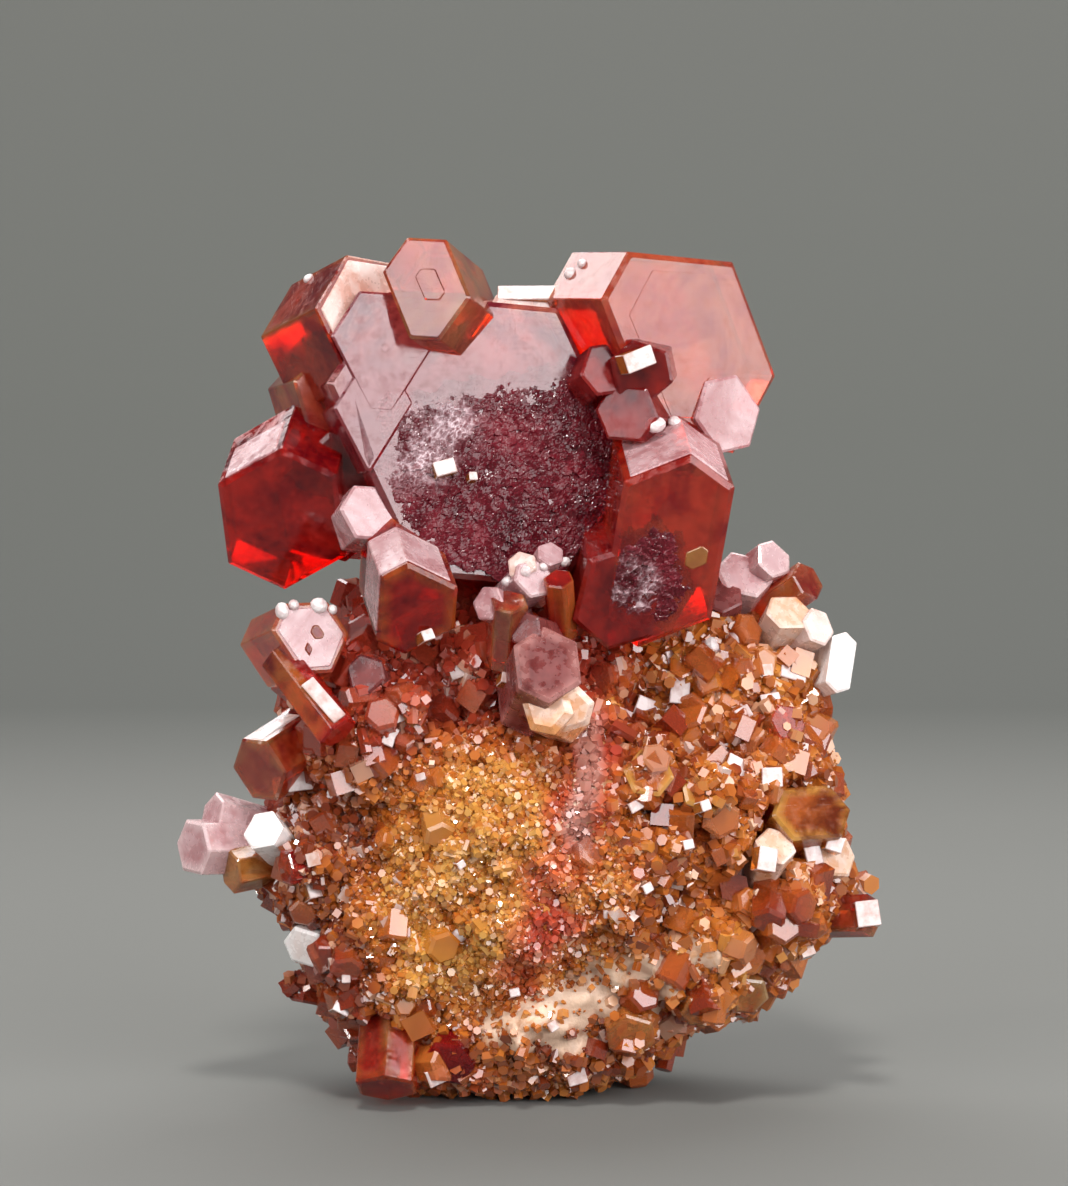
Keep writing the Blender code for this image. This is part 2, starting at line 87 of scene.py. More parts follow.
@dataclass(frozen=True)
class Crystal:
    """A hexagonal prism, given by the end face that is turned to the front.

    face is the centre of that end, heading the angle that the axis turns to the right of the
    front, rise the angle that it climbs, turn the direction of the first side about the axis,
    reach the distance from the axis to each side, and rim the width of the sloping faces round
    both ends.
    """

    face: tuple
    heading: float
    rise: float
    turn: float
    reach: tuple
    length: float
    rim: float = 0.0
    look: Look = Look.BRIGHT

    def axes(self) -> tuple:
        """Right, up and outward directions of the end face."""
        heading = math.radians(self.heading)
        rise = math.radians(self.rise)
        right = Vector((math.cos(heading), math.sin(heading), 0.0))
        outward = Vector((
            math.sin(heading) * math.cos(rise),
            -math.cos(heading) * math.cos(rise),
            math.sin(rise),
        ))
        return right, outward.cross(right), outward

    def step(self, across: float, upward: float, reach: tuple, proud: float, look: Look = None) -> "Crystal":
        """A thin growth step on the end face.

        Args:
            across: Distance from the face's centre to the right.
            upward: Distance from the face's centre upwards.
            reach: Distances from the step's middle to its sides.
            proud: How far the step stands out.
            look: Its finish, or the crystal's own where none is given.

        Returns:
            The step as a crystal of its own.
        """
        right, up, outward = self.axes()
        face = Vector(self.face) + right * across + up * upward + outward * proud
        stand = (self.heading, self.rise, self.turn + STEP_TWIST)
        return Crystal(tuple(face), *stand, reach, STEP_DEPTH, STEP_RIM, look or self.look)

    def skin(self, sides: tuple, look: Look) -> "Crystal":
        """A paler skin over some of the side faces, set back from the end: a painted sheen for the light that
        these faces reflect.

        Args:
            sides: Numbers of the side faces that it covers.
            look: Its finish.

        Returns:
            The skin as a crystal of its own, inside the others' sides.
        """
        reach = tuple(
            far + SHEEN_SKIN if side in sides else far - SHEEN_SKIN_INSET for side, far in enumerate(self.reach)
        )
        face = Vector(self.face) - self.axes()[2] * (self.rim + SHEEN_SKIN_START)
        stand = (self.heading, self.rise, self.turn)
        return Crystal(tuple(face), *stand, reach, self.length * SHEEN_SKIN_LENGTH, STEP_RIM, look)


def linked(name: str, data: bpy.types.ID) -> bpy.types.Object:
    """A new object in the scene with this mesh, light or camera."""
    item = bpy.data.objects.new(name, data)
    bpy.context.scene.collection.objects.link(item)
    return item


def finished(name: str, shape: bmesh.types.BMesh, *materials: bpy.types.Material) -> bpy.types.Mesh:
    """A plain mesh of what was built in a bmesh, which is freed."""
    mesh = bpy.data.meshes.new(name)
    shape.to_mesh(mesh)
    shape.free()
    for material in materials:
        mesh.materials.append(material)
    return mesh


def evaluated(item: bpy.types.Object) -> bpy.types.Mesh:
    """The mesh of an object with its modifiers carried out.

    Args:
        item: The object to read.

    Returns:
        A plain mesh that belongs to no object.
    """
    bpy.context.view_layer.update()
    graph = bpy.context.evaluated_depsgraph_get()
    return bpy.data.meshes.new_from_object(item.evaluated_get(graph))


def triangles(mesh: bpy.types.Mesh) -> int:
    """How many triangles a mesh has."""
    mesh.calc_loop_triangles()
    return len(mesh.loop_triangles)


def surface_tree(mesh: bpy.types.Mesh) -> BVHTree:
    """A tree of a mesh's faces, for finding the surface behind a place."""
    corners = [vertex.co.copy() for vertex in mesh.vertices]
    return BVHTree.FromPolygons(corners, [tuple(polygon.vertices) for polygon in mesh.polygons])


def blended(low: float, high: float, value: np.ndarray) -> np.ndarray:
    """A smooth step from 0 at low to 1 at high."""
    share = np.clip((value - low) / (high - low), 0.0, 1.0)
    return share * share * (3.0 - 2.0 * share)


def dressed(name: str, mesh: bpy.types.Mesh, nodes: tuple) -> bpy.types.Object:
    """Makes a finished piece that rides on the specimen and stands for its solids.

    Args:
        name: The piece's name.
        mesh: Its mesh, in place and in metres.
        nodes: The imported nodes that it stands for.

    Returns:
        The piece's object.
    """
    piece = linked(name, mesh)
    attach(piece, "root")
    if nodes:
        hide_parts(*nodes)
    LOG.info("%s: %d triangles", name, triangles(mesh))
    return piece


class Wiring:
    """Adds nodes to a tree with short calls."""

    def __init__(self, tree: bpy.types.NodeTree) -> None:
        """Starts on a tree."""
        self.tree = tree

    def add(self, kind: str, feeds: dict = None, **values) -> bpy.types.Node:
        """A new node.

        Args:
            kind: The node's type.
            feeds: What goes into its inputs, by name or number: outputs of other nodes or plain values.
            values: The node's own properties.

        Returns:
            The node.
        """
        node = self.tree.nodes.new(kind)
        for name, value in values.items():
            setattr(node, name, value)
        for key, value in (feeds or {}).items():
            socket = node.inputs[key]
            if isinstance(value, bpy.types.NodeSocket):
                self.tree.links.new(value, socket)
            elif isinstance(value, tuple) and socket.type == "RGBA":
                socket.default_value = (*value, 1.0)
            else:
                socket.default_value = value
        return node

    def maths(self, operation: str, first: object, second: object = 0.0) -> bpy.types.NodeSocket:
        """Result of a sum on outputs or plain numbers."""
        return self.add("ShaderNodeMath", {0: first, 1: second}, operation=operation).outputs[0]


class Shader(Wiring):
    """A material's node tree round one principled shader."""

    def __init__(self, name: str) -> None:
        """Starts a material with a plain principled shader."""
        self.material = bpy.data.materials.new(name)
        self.material.use_nodes = True
        super().__init__(self.material.node_tree)
        self.surface = self.tree.nodes["Principled BSDF"]
        self.place = self.add("ShaderNodeTexCoord").outputs["Object"]

    def wear(self, colour: bpy.types.NodeSocket, roughness: bpy.types.NodeSocket = None) -> None:
        """Gives the shader its colour and roughness."""
        self.tree.links.new(colour, self.surface.inputs["Base Color"])
        if roughness:
            self.tree.links.new(roughness, self.surface.inputs["Roughness"])

    def fixed(self, **values) -> None:
        """Sets the shader's own sockets, named with underscores for spaces."""
        for name, value in values.items():
            self.surface.inputs[name.replace("_", " ")].default_value = value

    def noise(
        self, scale: float, detail: float = 4.0, rough: float = 0.6, warp: float = 0.0,
    ) -> bpy.types.NodeSocket:
        """Output of a noise texture over the piece's own coordinates."""
        feeds = {"Scale": scale, "Detail": detail, "Roughness": rough, "Distortion": warp}
        return self.add("ShaderNodeTexNoise", {"Vector": self.place, **feeds}).outputs["Fac"]

    def cells(self, scale: float, metric: str) -> bpy.types.NodeSocket:
        """Distance within a cell texture over the piece's own coordinates."""
        feeds = {"Vector": self.place, "Scale": scale}
        return self.add("ShaderNodeTexVoronoi", feeds, distance=metric).outputs["Distance"]

    def attribute(self, name: str) -> bpy.types.NodeSocket:
        """A number that the mesh carries."""
        return self.add("ShaderNodeAttribute", attribute_name=name).outputs["Fac"]

    def height(self) -> bpy.types.NodeSocket:
        """Height over the floor, in metres."""
        return self.add("ShaderNodeSeparateXYZ", {0: self.place}).outputs["Z"]

    def span(
        self, value: bpy.types.NodeSocket, low: float, high: float, start: float = 0.0, end: float = 1.0,
    ) -> bpy.types.NodeSocket:
        """Maps a range of a value smoothly to another range."""
        feeds = {"Value": value, "From Min": low, "From Max": high, "To Min": start, "To Max": end}
        return self.add("ShaderNodeMapRange", feeds, interpolation_type="SMOOTHSTEP").outputs["Result"]

    def ramp(self, value: bpy.types.NodeSocket, *stops: tuple) -> bpy.types.NodeSocket:
        """Colours along a value, as (position, colour) stops."""
        node = self.add("ShaderNodeValToRGB", {"Fac": value})
        points = node.color_ramp.elements
        while len(points) < len(stops):
            points.new(0.5)
        for point, (position, colour) in zip(points, stops):
            point.position = position
            point.color = (*colour, 1.0)
        return node.outputs["Color"]

    def mix(self, share: bpy.types.NodeSocket, first: object, second: object) -> bpy.types.NodeSocket:
        """Mixes two colours by a share."""
        return self.add("ShaderNodeMix", {0: share, 6: first, 7: second}, data_type="RGBA").outputs[2]

    def relief(self, height: bpy.types.NodeSocket, strength: float, depth: float) -> None:
        """Adds a bump of this height over those already there."""
        bump = self.add("ShaderNodeBump", {"Strength": strength, "Distance": depth, "Height": height})
        normal = self.surface.inputs["Normal"]
        if normal.is_linked:
            self.tree.links.new(normal.links[0].from_socket, bump.inputs["Normal"])
        self.tree.links.new(bump.outputs["Normal"], normal)


# Heights between which the main crystal's face turns from its own colour to the deep one
SUNK_TOP = 36.2
SUNK_FOOT = 33.5


@dataclass(frozen=True)
class CrystalFinish:
    """Colours and clearness of one kind of crystal.

    deep and body are the colours of the clouds in the crystal, edge that of the glow and
    highlight painted along its edges, tint the colour that light keeps on its way through, and
    density how fast it takes it on. rim_glow is how strongly that painted edge glow shows, and sunk
    how deep the colour grows low on the face.
    """

    deep: tuple
    body: tuple
    edge: tuple
    clearness: float
    tint: tuple = (1.0, 1.0, 1.0)
    density: float = 0.0
    gloss: float = 0.1
    rim_glow: float = 0.8
    ior: float = 1.8
    sunk: float = 0.0

    def material(self, name: str) -> bpy.types.Material:
        """Builds the material."""
        shader = Shader(name)
        cloud = shader.noise(300.0, 4.0, 0.65, 0.8)
        fine = shader.noise(1900.0, 2.0, 0.65)
        shade = shader.maths("ADD", cloud, shader.maths("MULTIPLY", fine, 0.25))
        inner = shader.ramp(shade, (0.5, self.deep), (0.72, self.body))
        # Painted glow and highlight along the edges: the band beside each edge turns toward the rim colour
        rim = shader.maths("MULTIPLY", shader.attribute("edge"), shader.span(cloud, 0.35, 0.6))
        colour = shader.mix(shader.maths("MULTIPLY", rim, self.rim_glow), inner, self.edge)
        if self.sunk:
            lower = shader.span(shader.height(), SUNK_TOP * MM, SUNK_FOOT * MM, 0.0, self.sunk)
            colour = shader.mix(lower, colour, self.deep)
        shader.wear(colour, shader.span(fine, 0.35, 0.7, self.gloss * 0.5, self.gloss * 2.4))
        shader.fixed(IOR=self.ior, Transmission_Weight=self.clearness)
        terraces = shader.maths("SNAP", shader.cells(520.0, metric="CHEBYCHEV"), 0.13)
        shader.relief(terraces, 0.25, 0.04 * MM)
        shader.relief(shader.noise(900.0, 2.0, 0.6), 0.16, 0.06 * MM)
        if self.density:
            feeds = {"Color": self.tint, "Density": self.density}
            inside = shader.add("ShaderNodeVolumeAbsorption", feeds).outputs[0]
            shader.tree.links.new(inside, shader.tree.nodes["Material Output"].inputs["Volume"])
        return shader.material


RED_TINT = (0.985, 0.58, 0.2)
ORANGE_TINT = (0.985, 0.66, 0.2)
AMBER_TINT = (0.985, 0.64, 0.1)
FINISHES = {
    Look.MAIN: CrystalFinish(
        (0.3, 0.02, 0.04), (0.9, 0.2, 0.2), (0.95, 0.34, 0.14), 0.7, RED_TINT, 1300.0, sunk=0.8),
    Look.DEEP: CrystalFinish(
        (0.45, 0.012, 0.012), (0.95, 0.1, 0.04), (0.95, 0.36, 0.08), 0.82, RED_TINT, 1200.0, ior=1.55),
    Look.DARK: CrystalFinish(
        (0.24, 0.005, 0.01), (0.7, 0.03, 0.02), (0.92, 0.26, 0.05), 0.75, RED_TINT, 1400.0, ior=1.5),
    Look.SHADED: CrystalFinish(
        (0.2, 0.006, 0.012), (0.6, 0.035, 0.03), (0.85, 0.2, 0.1), 0.7, RED_TINT, 1500.0, ior=1.45),
    Look.BRIGHT: CrystalFinish(
        (0.55, 0.04, 0.03), (0.92, 0.2, 0.08), (0.95, 0.42, 0.14), 0.8, ORANGE_TINT, 1000.0),
    Look.ROSE: CrystalFinish(
        (0.14, 0.02, 0.02), (0.34, 0.075, 0.07), (0.68, 0.3, 0.27), 0.5, RED_TINT, 700.0, 0.25, ior=1.45),
    Look.PINK: CrystalFinish(
        (0.48, 0.21, 0.22), (0.72, 0.48, 0.5), (0.84, 0.62, 0.62), 0.35, RED_TINT, 150.0, 0.18, ior=1.65),
    Look.PALE: CrystalFinish((0.62, 0.36, 0.29), (0.82, 0.68, 0.63), (0.86, 0.76, 0.72), 0.15, gloss=0.2),
    # Near-white finish for faces that glare white: a painted highlight
    Look.WHITE: CrystalFinish((0.8, 0.68, 0.64), (0.88, 0.86, 0.85), (0.9, 0.88, 0.87), 0.05, gloss=0.22),
    Look.AMBER: CrystalFinish(
        (0.66, 0.14, 0.02), (0.92, 0.36, 0.07), (0.95, 0.6, 0.26), 0.72, AMBER_TINT, 700.0),
    # Yellow glow painted strongly along the plate's edges
    Look.TABULAR: CrystalFinish(
        (0.22, 0.035, 0.008), (0.66, 0.15, 0.025), (1.0, 0.5, 0.1), 0.6, ORANGE_TINT, 700.0, rim_glow=0.9),
    Look.ALTERED: CrystalFinish((0.72, 0.3, 0.1), (0.86, 0.64, 0.52), (0.86, 0.7, 0.62), 0.2, gloss=0.25),
}


class Materials:
    """Every finish of the crystals, each made once."""

    def __init__(self) -> None:
        """Makes the crystal finishes."""
        self.crystals = {look: finish.material(look.value) for look, finish in FINISHES.items()}


@dataclass(frozen=True)
class EtchedFinish:
    """Dull maroon of an etched face, with sparkling little steps, a painted highlight on their ridges and a
    pale frosting that is partly painted glints.
    """

    dark: tuple = (0.045, 0.001, 0.004)
    light: tuple = (0.15, 0.006, 0.014)
    ridge: tuple = (0.26, 0.04, 0.06)
    frost: tuple = (0.78, 0.62, 0.66)

    def material(self, name: str) -> bpy.types.Material:
        """Builds the material."""
        shader = Shader(name)
        cloud = shader.noise(500.0, 5.0, 0.65, 0.4)
        colour = shader.ramp(cloud, (0.35, self.dark), (0.7, self.light))
        # Painted highlight along the ridges of the steps
        colour = shader.mix(shader.attribute("ridge"), colour, self.ridge)
        # Pale frosting toward the upper left: partly the etched face's frosting, partly painted glints
        frost_and_glints_share = shader.maths("MULTIPLY", shader.attribute("frost"), shader.span(cloud, 0.4, 0.62))
        colour = shader.mix(frost_and_glints_share, colour, self.frost)
        shader.wear(colour, shader.span(cloud, 0.3, 0.7, 0.1, 0.3))
        shader.fixed(IOR=1.42, Transmission_Weight=0.1)
        shader.relief(shader.noise(4200.0, 3.0, 0.6), 0.4, 0.04 * MM)
        return shader.material


@dataclass(frozen=True)
class PlainFinish:
    """One colour with a faint cloudiness, for white grains and the painted glints of the facets."""

    colour: tuple
    shade: tuple
    gloss: float = 0.15
    clearness: float = 0.0

    def material(self, name: str) -> bpy.types.Material:
        """Builds the material."""
        shader = Shader(name)
        shader.wear(shader.ramp(shader.noise(1500.0), (0.35, self.shade), (0.6, self.colour)))
        shader.fixed(Roughness=self.gloss, IOR=1.8, Transmission_Weight=self.clearness)
        shader.relief(shader.noise(2600.0), 0.2, 0.05 * MM)
        return shader.material


class CrystalShaper:
    """Makes the fine mesh of a crystal: chamfered edges and a band beside them for a painted edge glow."""

    chamfer = 0.05
    # Width of the band beside each edge where the material paints its edge glow
    band = 0.5

    def outline(self, reach: list, turn: float) -> list:
        """Corners of a six-sided outline whose corners all have 120 degrees.

        Args:
            reach: Distance from the middle to each side.
            turn: Direction of the first side, in degrees.

        Returns:
            The corners as vectors, counterclockwise.
        """
        corners = []
        step = math.radians(SIDE_ANGLE)
        for side in range(SIDES):
            first = math.radians(turn) + step * side
            second = first + step
            near = reach[side]
            far = reach[(side + 1) % SIDES]
            x = (near * math.sin(second) - far * math.sin(first)) / math.sin(step)
            y = (far * math.cos(first) - near * math.cos(second)) / math.sin(step)
            corners.append(Vector((x, y)))
        return corners

    def loop(self, corners: list) -> list:
        """Points round an outline, close beside each corner, with their nearness to an edge."""
        points = []
        for index, corner in enumerate(corners):
            before = corners[index - 1] - corner
            after = corners[(index + 1) % SIDES] - corner
            for way, distances in ((before, (self.band, self.chamfer)), (after, (self.chamfer, self.band))):
                for distance in distances:
                    reached = min(distance, way.length * 0.3)
                    points.append((corner + way.normalized() * reached, float(distance == self.chamfer)))
        return points

    def mesh(self, name: str, crystal: Crystal) -> bpy.types.Mesh:
        """The fine mesh of one crystal.

        Args:
            name: The mesh's name.
            crystal: The crystal's sizes.

        Returns:
            The mesh, in metres, with its nearness to an edge as an attribute.
        """
        right, up, outward = crystal.axes()
        centre = Vector(crystal.face)
        shape = bmesh.new()
        # Nearness to an edge, which the material turns into a painted edge glow
        edge = shape.verts.layers.float.new("edge")
        slope = max(crystal.rim * 0.7, self.chamfer)
        rim = max(crystal.rim, self.chamfer)
        wide = min(min(crystal.reach) * 0.45, rim + self.band)
        deep = min(crystal.length * 0.3, slope + self.band)
        rings = [(wide, 0.0, 0.0), (rim, 0.0, 1.0), (0.0, -slope, 1.0), (0.0, -deep, None)]
        rings += [(inset, -crystal.length - depth, mark) for inset, depth, mark in reversed(rings)]
        loops = []
        for inset, depth, mark in rings:
            corners = self.outline([distance - inset for distance in crystal.reach], crystal.turn)
            ring = []
            for point, near in self.loop(corners):
                spot = centre + right * point.x + up * point.y + outward * depth
                vertex = shape.verts.new((spot + CENTRING) * MM)
                vertex[edge] = near if mark is None else mark
                ring.append(vertex)
            loops.append(ring)
        shape.faces.new(loops[0])
        shape.faces.new(list(reversed(loops[-1])))
        count = len(loops[0])
        for upper, lower in zip(loops, loops[1:]):
            for place in range(count):
                after = (place + 1) % count
                shape.faces.new((upper[place], lower[place], lower[after], upper[after]))
        return finished(name, shape)


@dataclass
class CrystalGroup:
    """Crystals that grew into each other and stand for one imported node."""

    name: str
    node: str
    slot: str
    crystals: list

    def solid(self, materials: Materials) -> bpy.types.Mesh:
        """Unites the group's crystals into one closed mesh."""
        shaper = CrystalShaper()
        parts = []
        for crystal in self.crystals:
            mesh = shaper.mesh(self.name, crystal)
            mesh.materials.append(materials.crystals[crystal.look])
            parts.append(linked(self.name + "_part", mesh))
        base = parts[0]
        for other in parts[1:]:
            step = base.modifiers.new("grown", "BOOLEAN")
            step.operation = "UNION"
            step.solver = "EXACT"
            step.material_mode = "TRANSFER"
            step.object = other
        joined = evaluated(base)
        for part in parts:
            bpy.data.objects.remove(part)
        return joined

    def build(self, materials: Materials) -> BVHTree:
        """Makes the finished group and gives a tree of its surface."""
        piece = dressed(self.name, self.solid(materials), (self.node,))
        return surface_tree(piece.data)


@dataclass
class EtchedFace:
    """The lower part of a crystal's end face, dissolved into little tilted steps."""

    name: str
    host: Crystal
    outline: tuple
    frost: tuple
    pitch: float = 0.06
    cell: float = 0.3
    grain: float = 0.12
    step: float = 0.06
    tilt: float = 0.4
    thickness: float = 0.4
    fade: float = 1.2
    margin: float = 0.3
    candidates: int = 10
    seed: int = 3

    def steps(self, spots: np.ndarray, wanted: np.ndarray, size: float, seed: int) -> tuple:
        """Heights of tilted plates, each round its own seed point.

        Args:
            spots: Points in the face's plane, in millimetres.
            wanted: Which of them are needed.
            size: Distance between seed points.
            seed: Seed of the layout.

        Returns:
            The heights, from 0 to 1, and the nearness to a plate's border.
        """
        dice = np.random.default_rng(seed)
        low, high = spots.min(0), spots.max(0)
        count = int(np.prod(high - low) / size**2)
        seeds = dice.uniform(low, high, (count, 2))
        level = dice.uniform(0.0, 1.0, count)
        slope = dice.uniform(-1.0, 1.0, (count, 2))
        heights = np.zeros(len(spots))
        border = np.zeros(len(spots))
        tree = KDTree(count)
        for index, seed_point in enumerate(seeds):
            tree.insert((*seed_point, 0.0), index)
        tree.balance()
        turn = math.radians(self.host.turn)
        turns = [turn + side * math.pi / 3 for side in range(SIDES // 2)]
        ways = [np.array((math.cos(angle), math.sin(angle))) for angle in turns]
        ways = np.array(ways).T
        for index in np.flatnonzero(wanted):
            near = [found[1] for found in tree.find_n((*spots[index], 0.0), self.candidates)]
            away = seeds[near] - spots[index]
            far = np.abs(away @ ways).max(1)
            first, second = np.argpartition(far, 1)[:2]
            tilt = -away[first] @ slope[near[first]] * self.tilt
            heights[index] = level[near[first]] + tilt / self.step
            border[index] = 1.0 - min((far[second] - far[first]) / (0.3 * size), 1.0)
        return heights, border

    def inside(self, spots: np.ndarray) -> np.ndarray:
        """Which points lie inside the etched outline."""
        corners = np.array(self.outline)
        found = np.zeros(len(spots), bool)
        for first, second in zip(corners, np.roll(corners, -1, axis=0)):
            crosses = (first[1] > spots[:, 1]) != (second[1] > spots[:, 1])
            climb = second[1] - first[1]
            with np.errstate(divide="ignore", invalid="ignore"):
                level = (second[0] - first[0]) * (spots[:, 1] - first[1]) / climb + first[0]
            found ^= crosses & (spots[:, 0] < level)
        for side, reach in enumerate(self.host.reach):
            way = math.radians(self.host.turn + SIDE_ANGLE * side)
            found &= spots @ np.array((math.cos(way), math.sin(way))) < reach - self.margin
        return found

    def depth(self, spots: np.ndarray) -> np.ndarray:
        """Distance from each point to the etched outline."""
        corners = np.array(self.outline)
        nearest = np.full(len(spots), np.inf)
        for first, second in zip(corners, np.roll(corners, -1, axis=0)):
            line = second - first
            share = np.clip(((spots - first) @ line) / (line @ line), 0.0, 1.0)
            away = np.linalg.norm(spots - first - share[:, None] * line, axis=1)
            nearest = np.minimum(nearest, away)
        return nearest

    def build(self, material: bpy.types.Material) -> bpy.types.Object:
        """Makes the etched skin as a thin closed slab let into the crystal."""
        right, up, outward = self.host.axes()
        corners = np.array(self.outline)
        low, high = corners.min(0), corners.max(0)
        columns, rows = ((high - low) / self.pitch).astype(int) + 2
        across, along = np.meshgrid(np.arange(columns), np.arange(rows))
        spots = low + np.stack((across, along), -1).reshape(-1, 2) * self.pitch
        wander = 0.3 * np.sin(spots[:, 0] * 3.1) * np.sin(spots[:, 0] * 1.3 + 1.0)
        inside = self.inside(spots + np.stack((wander * 0.3, wander), -1))
        coarse, border = self.steps(spots, inside, self.cell, self.seed)
        fine, small_border = self.steps(spots, inside, self.grain, self.seed + 1)
        share = np.clip(self.depth(spots) / self.fade, 0.0, 1.0)
        rough = (0.25 + 0.55 * share) * coarse + (0.75 - 0.4 * share) * fine
        height = self.step * (1.0 + rough - 3.2 * (1.0 - share) ** 2)
        shape = bmesh.new()
        ridge = shape.verts.layers.float.new("ridge")
        frost = shape.verts.layers.float.new("frost")
        # Where the pale frosting and its painted glints gather, toward the upper left
        x, y, wide = self.frost
        frost_and_glints_share = 1.0 - blended(0.3 * wide, wide, np.hypot(spots[:, 0] - x, spots[:, 1] - y))
        made = {}
        for index in np.flatnonzero(inside):
            spot = Vector(self.host.face) + right * float(spots[index, 0]) + up * float(spots[index, 1])
            vertex = shape.verts.new((spot + outward * float(height[index]) + CENTRING) * MM)
            # Plate borders take a painted highlight, and more of the frosting with its painted glints
            vertex[ridge] = float(max(border[index] * 0.5, small_border[index] * 0.2)) ** 2
            veined = 0.15 + 1.6 * max(border[index], 0.6 * small_border[index]) ** 2
            vertex[frost] = float(min(frost_and_glints_share[index] * veined, 1.0))
            made[int(index)] = vertex
        for row in range(rows - 1):
            for column in range(columns - 1):
                start = row * columns + column
                ring = (start, start + 1, start + columns + 1, start + columns)
                if all(index in made for index in ring):
                    shape.faces.new([made[index] for index in ring])
        loose = [vertex for vertex in shape.verts if not vertex.link_faces]
        bmesh.ops.delete(shape, geom=loose, context="VERTS")
        slab = linked(self.name + "_sheet", finished(self.name, shape, material))
        closed = slab.modifiers.new("closed", "SOLIDIFY")
        closed.thickness = self.thickness * MM
        closed.offset = -1.0
        solid = evaluated(slab)
        bpy.data.objects.remove(slab)
        return dressed(self.name, solid, ("large_crystal_cluster",))


@dataclass(frozen=True)
class Facet:
    """A small block set in the surface, placed as seen from the front, its front face painted bright as a
    glint.
    """

    x: float
    z: float
    wide: float
    high: float
    turn: float = 0.0
    heading: float = 15.0
    rise: float = 12.0
    proud: float = 0.55


# Blocks whose fronts are painted white as glints
GLINT_FACETS = (
    Facet(0.0, 37.5, 3.0, 0.7, 0, 5, 32, 0.3),
    Facet(5.2, 18.2, 1.0, 1.3, -22), Facet(6.9, 19.25, 0.9, 1.4, -6), Facet(6.35, 20.6, 0.5, 0.6, 10),
    Facet(-6.2, 18.35, 0.7, 0.8, 20), Facet(-6.5, 17.3, 0.6, 0.9, -25), Facet(2.75, 12.15, 0.6, 0.6, 20),
    Facet(-6.0, 8.25, 1.0, 0.45, 0), Facet(-10.05, 10.05, 0.75, 0.8, 10), Facet(4.6, 14.3, 0.7, 0.5, 25),
    Facet(-3.95, 29.45, 1.0, 0.7, 15), Facet(-2.75, 29.0, 0.4, 0.4, 0), Facet(4.75, 34.45, 1.5, 0.9, 20),
    Facet(-8.7, 4.75, 0.8, 1.0, -30), Facet(-10.6, 15.0, 1.6, 0.9, 5), Facet(-9.0, 14.6, 0.8, 1.0, 12),
    Facet(9.4, 15.6, 1.5, 1.1, -30), Facet(10.9, 15.4, 1.0, 0.9, 0), Facet(7.7, 14.3, 0.5, 0.5, 15),
    Facet(8.4, 13.3, 0.5, 0.5, 30), Facet(7.0, 12.6, 0.5, 0.45, 10), Facet(10.6, 11.8, 0.9, 1.1, -12),
    Facet(2.1, 1.4, 0.9, 0.7, 15), Facet(-4.5, 1.6, 0.9, 0.8, 20), Facet(15.6, 8.8, 1.1, 1.2, 6),
    Facet(13.9, 12.2, 0.8, 0.7, -20), Facet(12.9, 11.7, 0.8, 0.9, 12), Facet(5.1, 10.6, 0.5, 0.45, 25),
    Facet(3.4, 9.4, 0.4, 0.4, 0), Facet(6.8, 9.2, 0.6, 0.5, 35), Facet(-0.8, 5.4, 0.5, 0.4, 10),
    Facet(-7.0, 12.3, 0.4, 0.4, 0), Facet(-3.3, 11.7, 0.4, 0.35, 30), Facet(-5.0, 15.5, 0.45, 0.35, 15),
    Facet(-9.6, 7.4, 0.4, 0.5, 20), Facet(-8.5, 6.1, 0.4, 0.4, 0), Facet(1.0, 4.0, 0.45, 0.45, 30),
    Facet(-9.3, 19.1, 0.7, 2.3, 36, 24, 22, 0.25), Facet(12.1, 19.7, 1.3, 0.6, -18),
    Facet(11.0, 18.6, 1.0, 0.6, 8), Facet(9.8, 18.2, 0.7, 0.6, 30),
    Facet(-4.8, 21.9, 0.6, 0.5, 15), Facet(-3.4, 20.0, 0.8, 0.6, 18), Facet(-1.2, 19.9, 0.5, 0.5, -15),
)

# Rounded white grains: place across, height and radius
GRAINS = (
    (1.85, 38.45, 0.32), (2.4, 38.9, 0.26), (-10.3, 38.3, 0.26),
    (5.7, 31.5, 0.42), (6.6, 31.6, 0.38), (-11.2, 23.1, 0.4), (-10.7, 23.35, 0.3), (-9.6, 23.3, 0.36),
    (-9.0, 23.1, 0.28), (-1.0, 24.4, 0.28), (-0.2, 24.9, 0.3), (0.6, 25.1, 0.26), (1.6, 25.2, 0.24),
    (-1.85, 2.6, 0.26), (-3.25, 8.35, 0.5), (9.6, 21.6, 0.5), (8.4, 21.2, 0.45), (7.5, 20.6, 0.42),
)


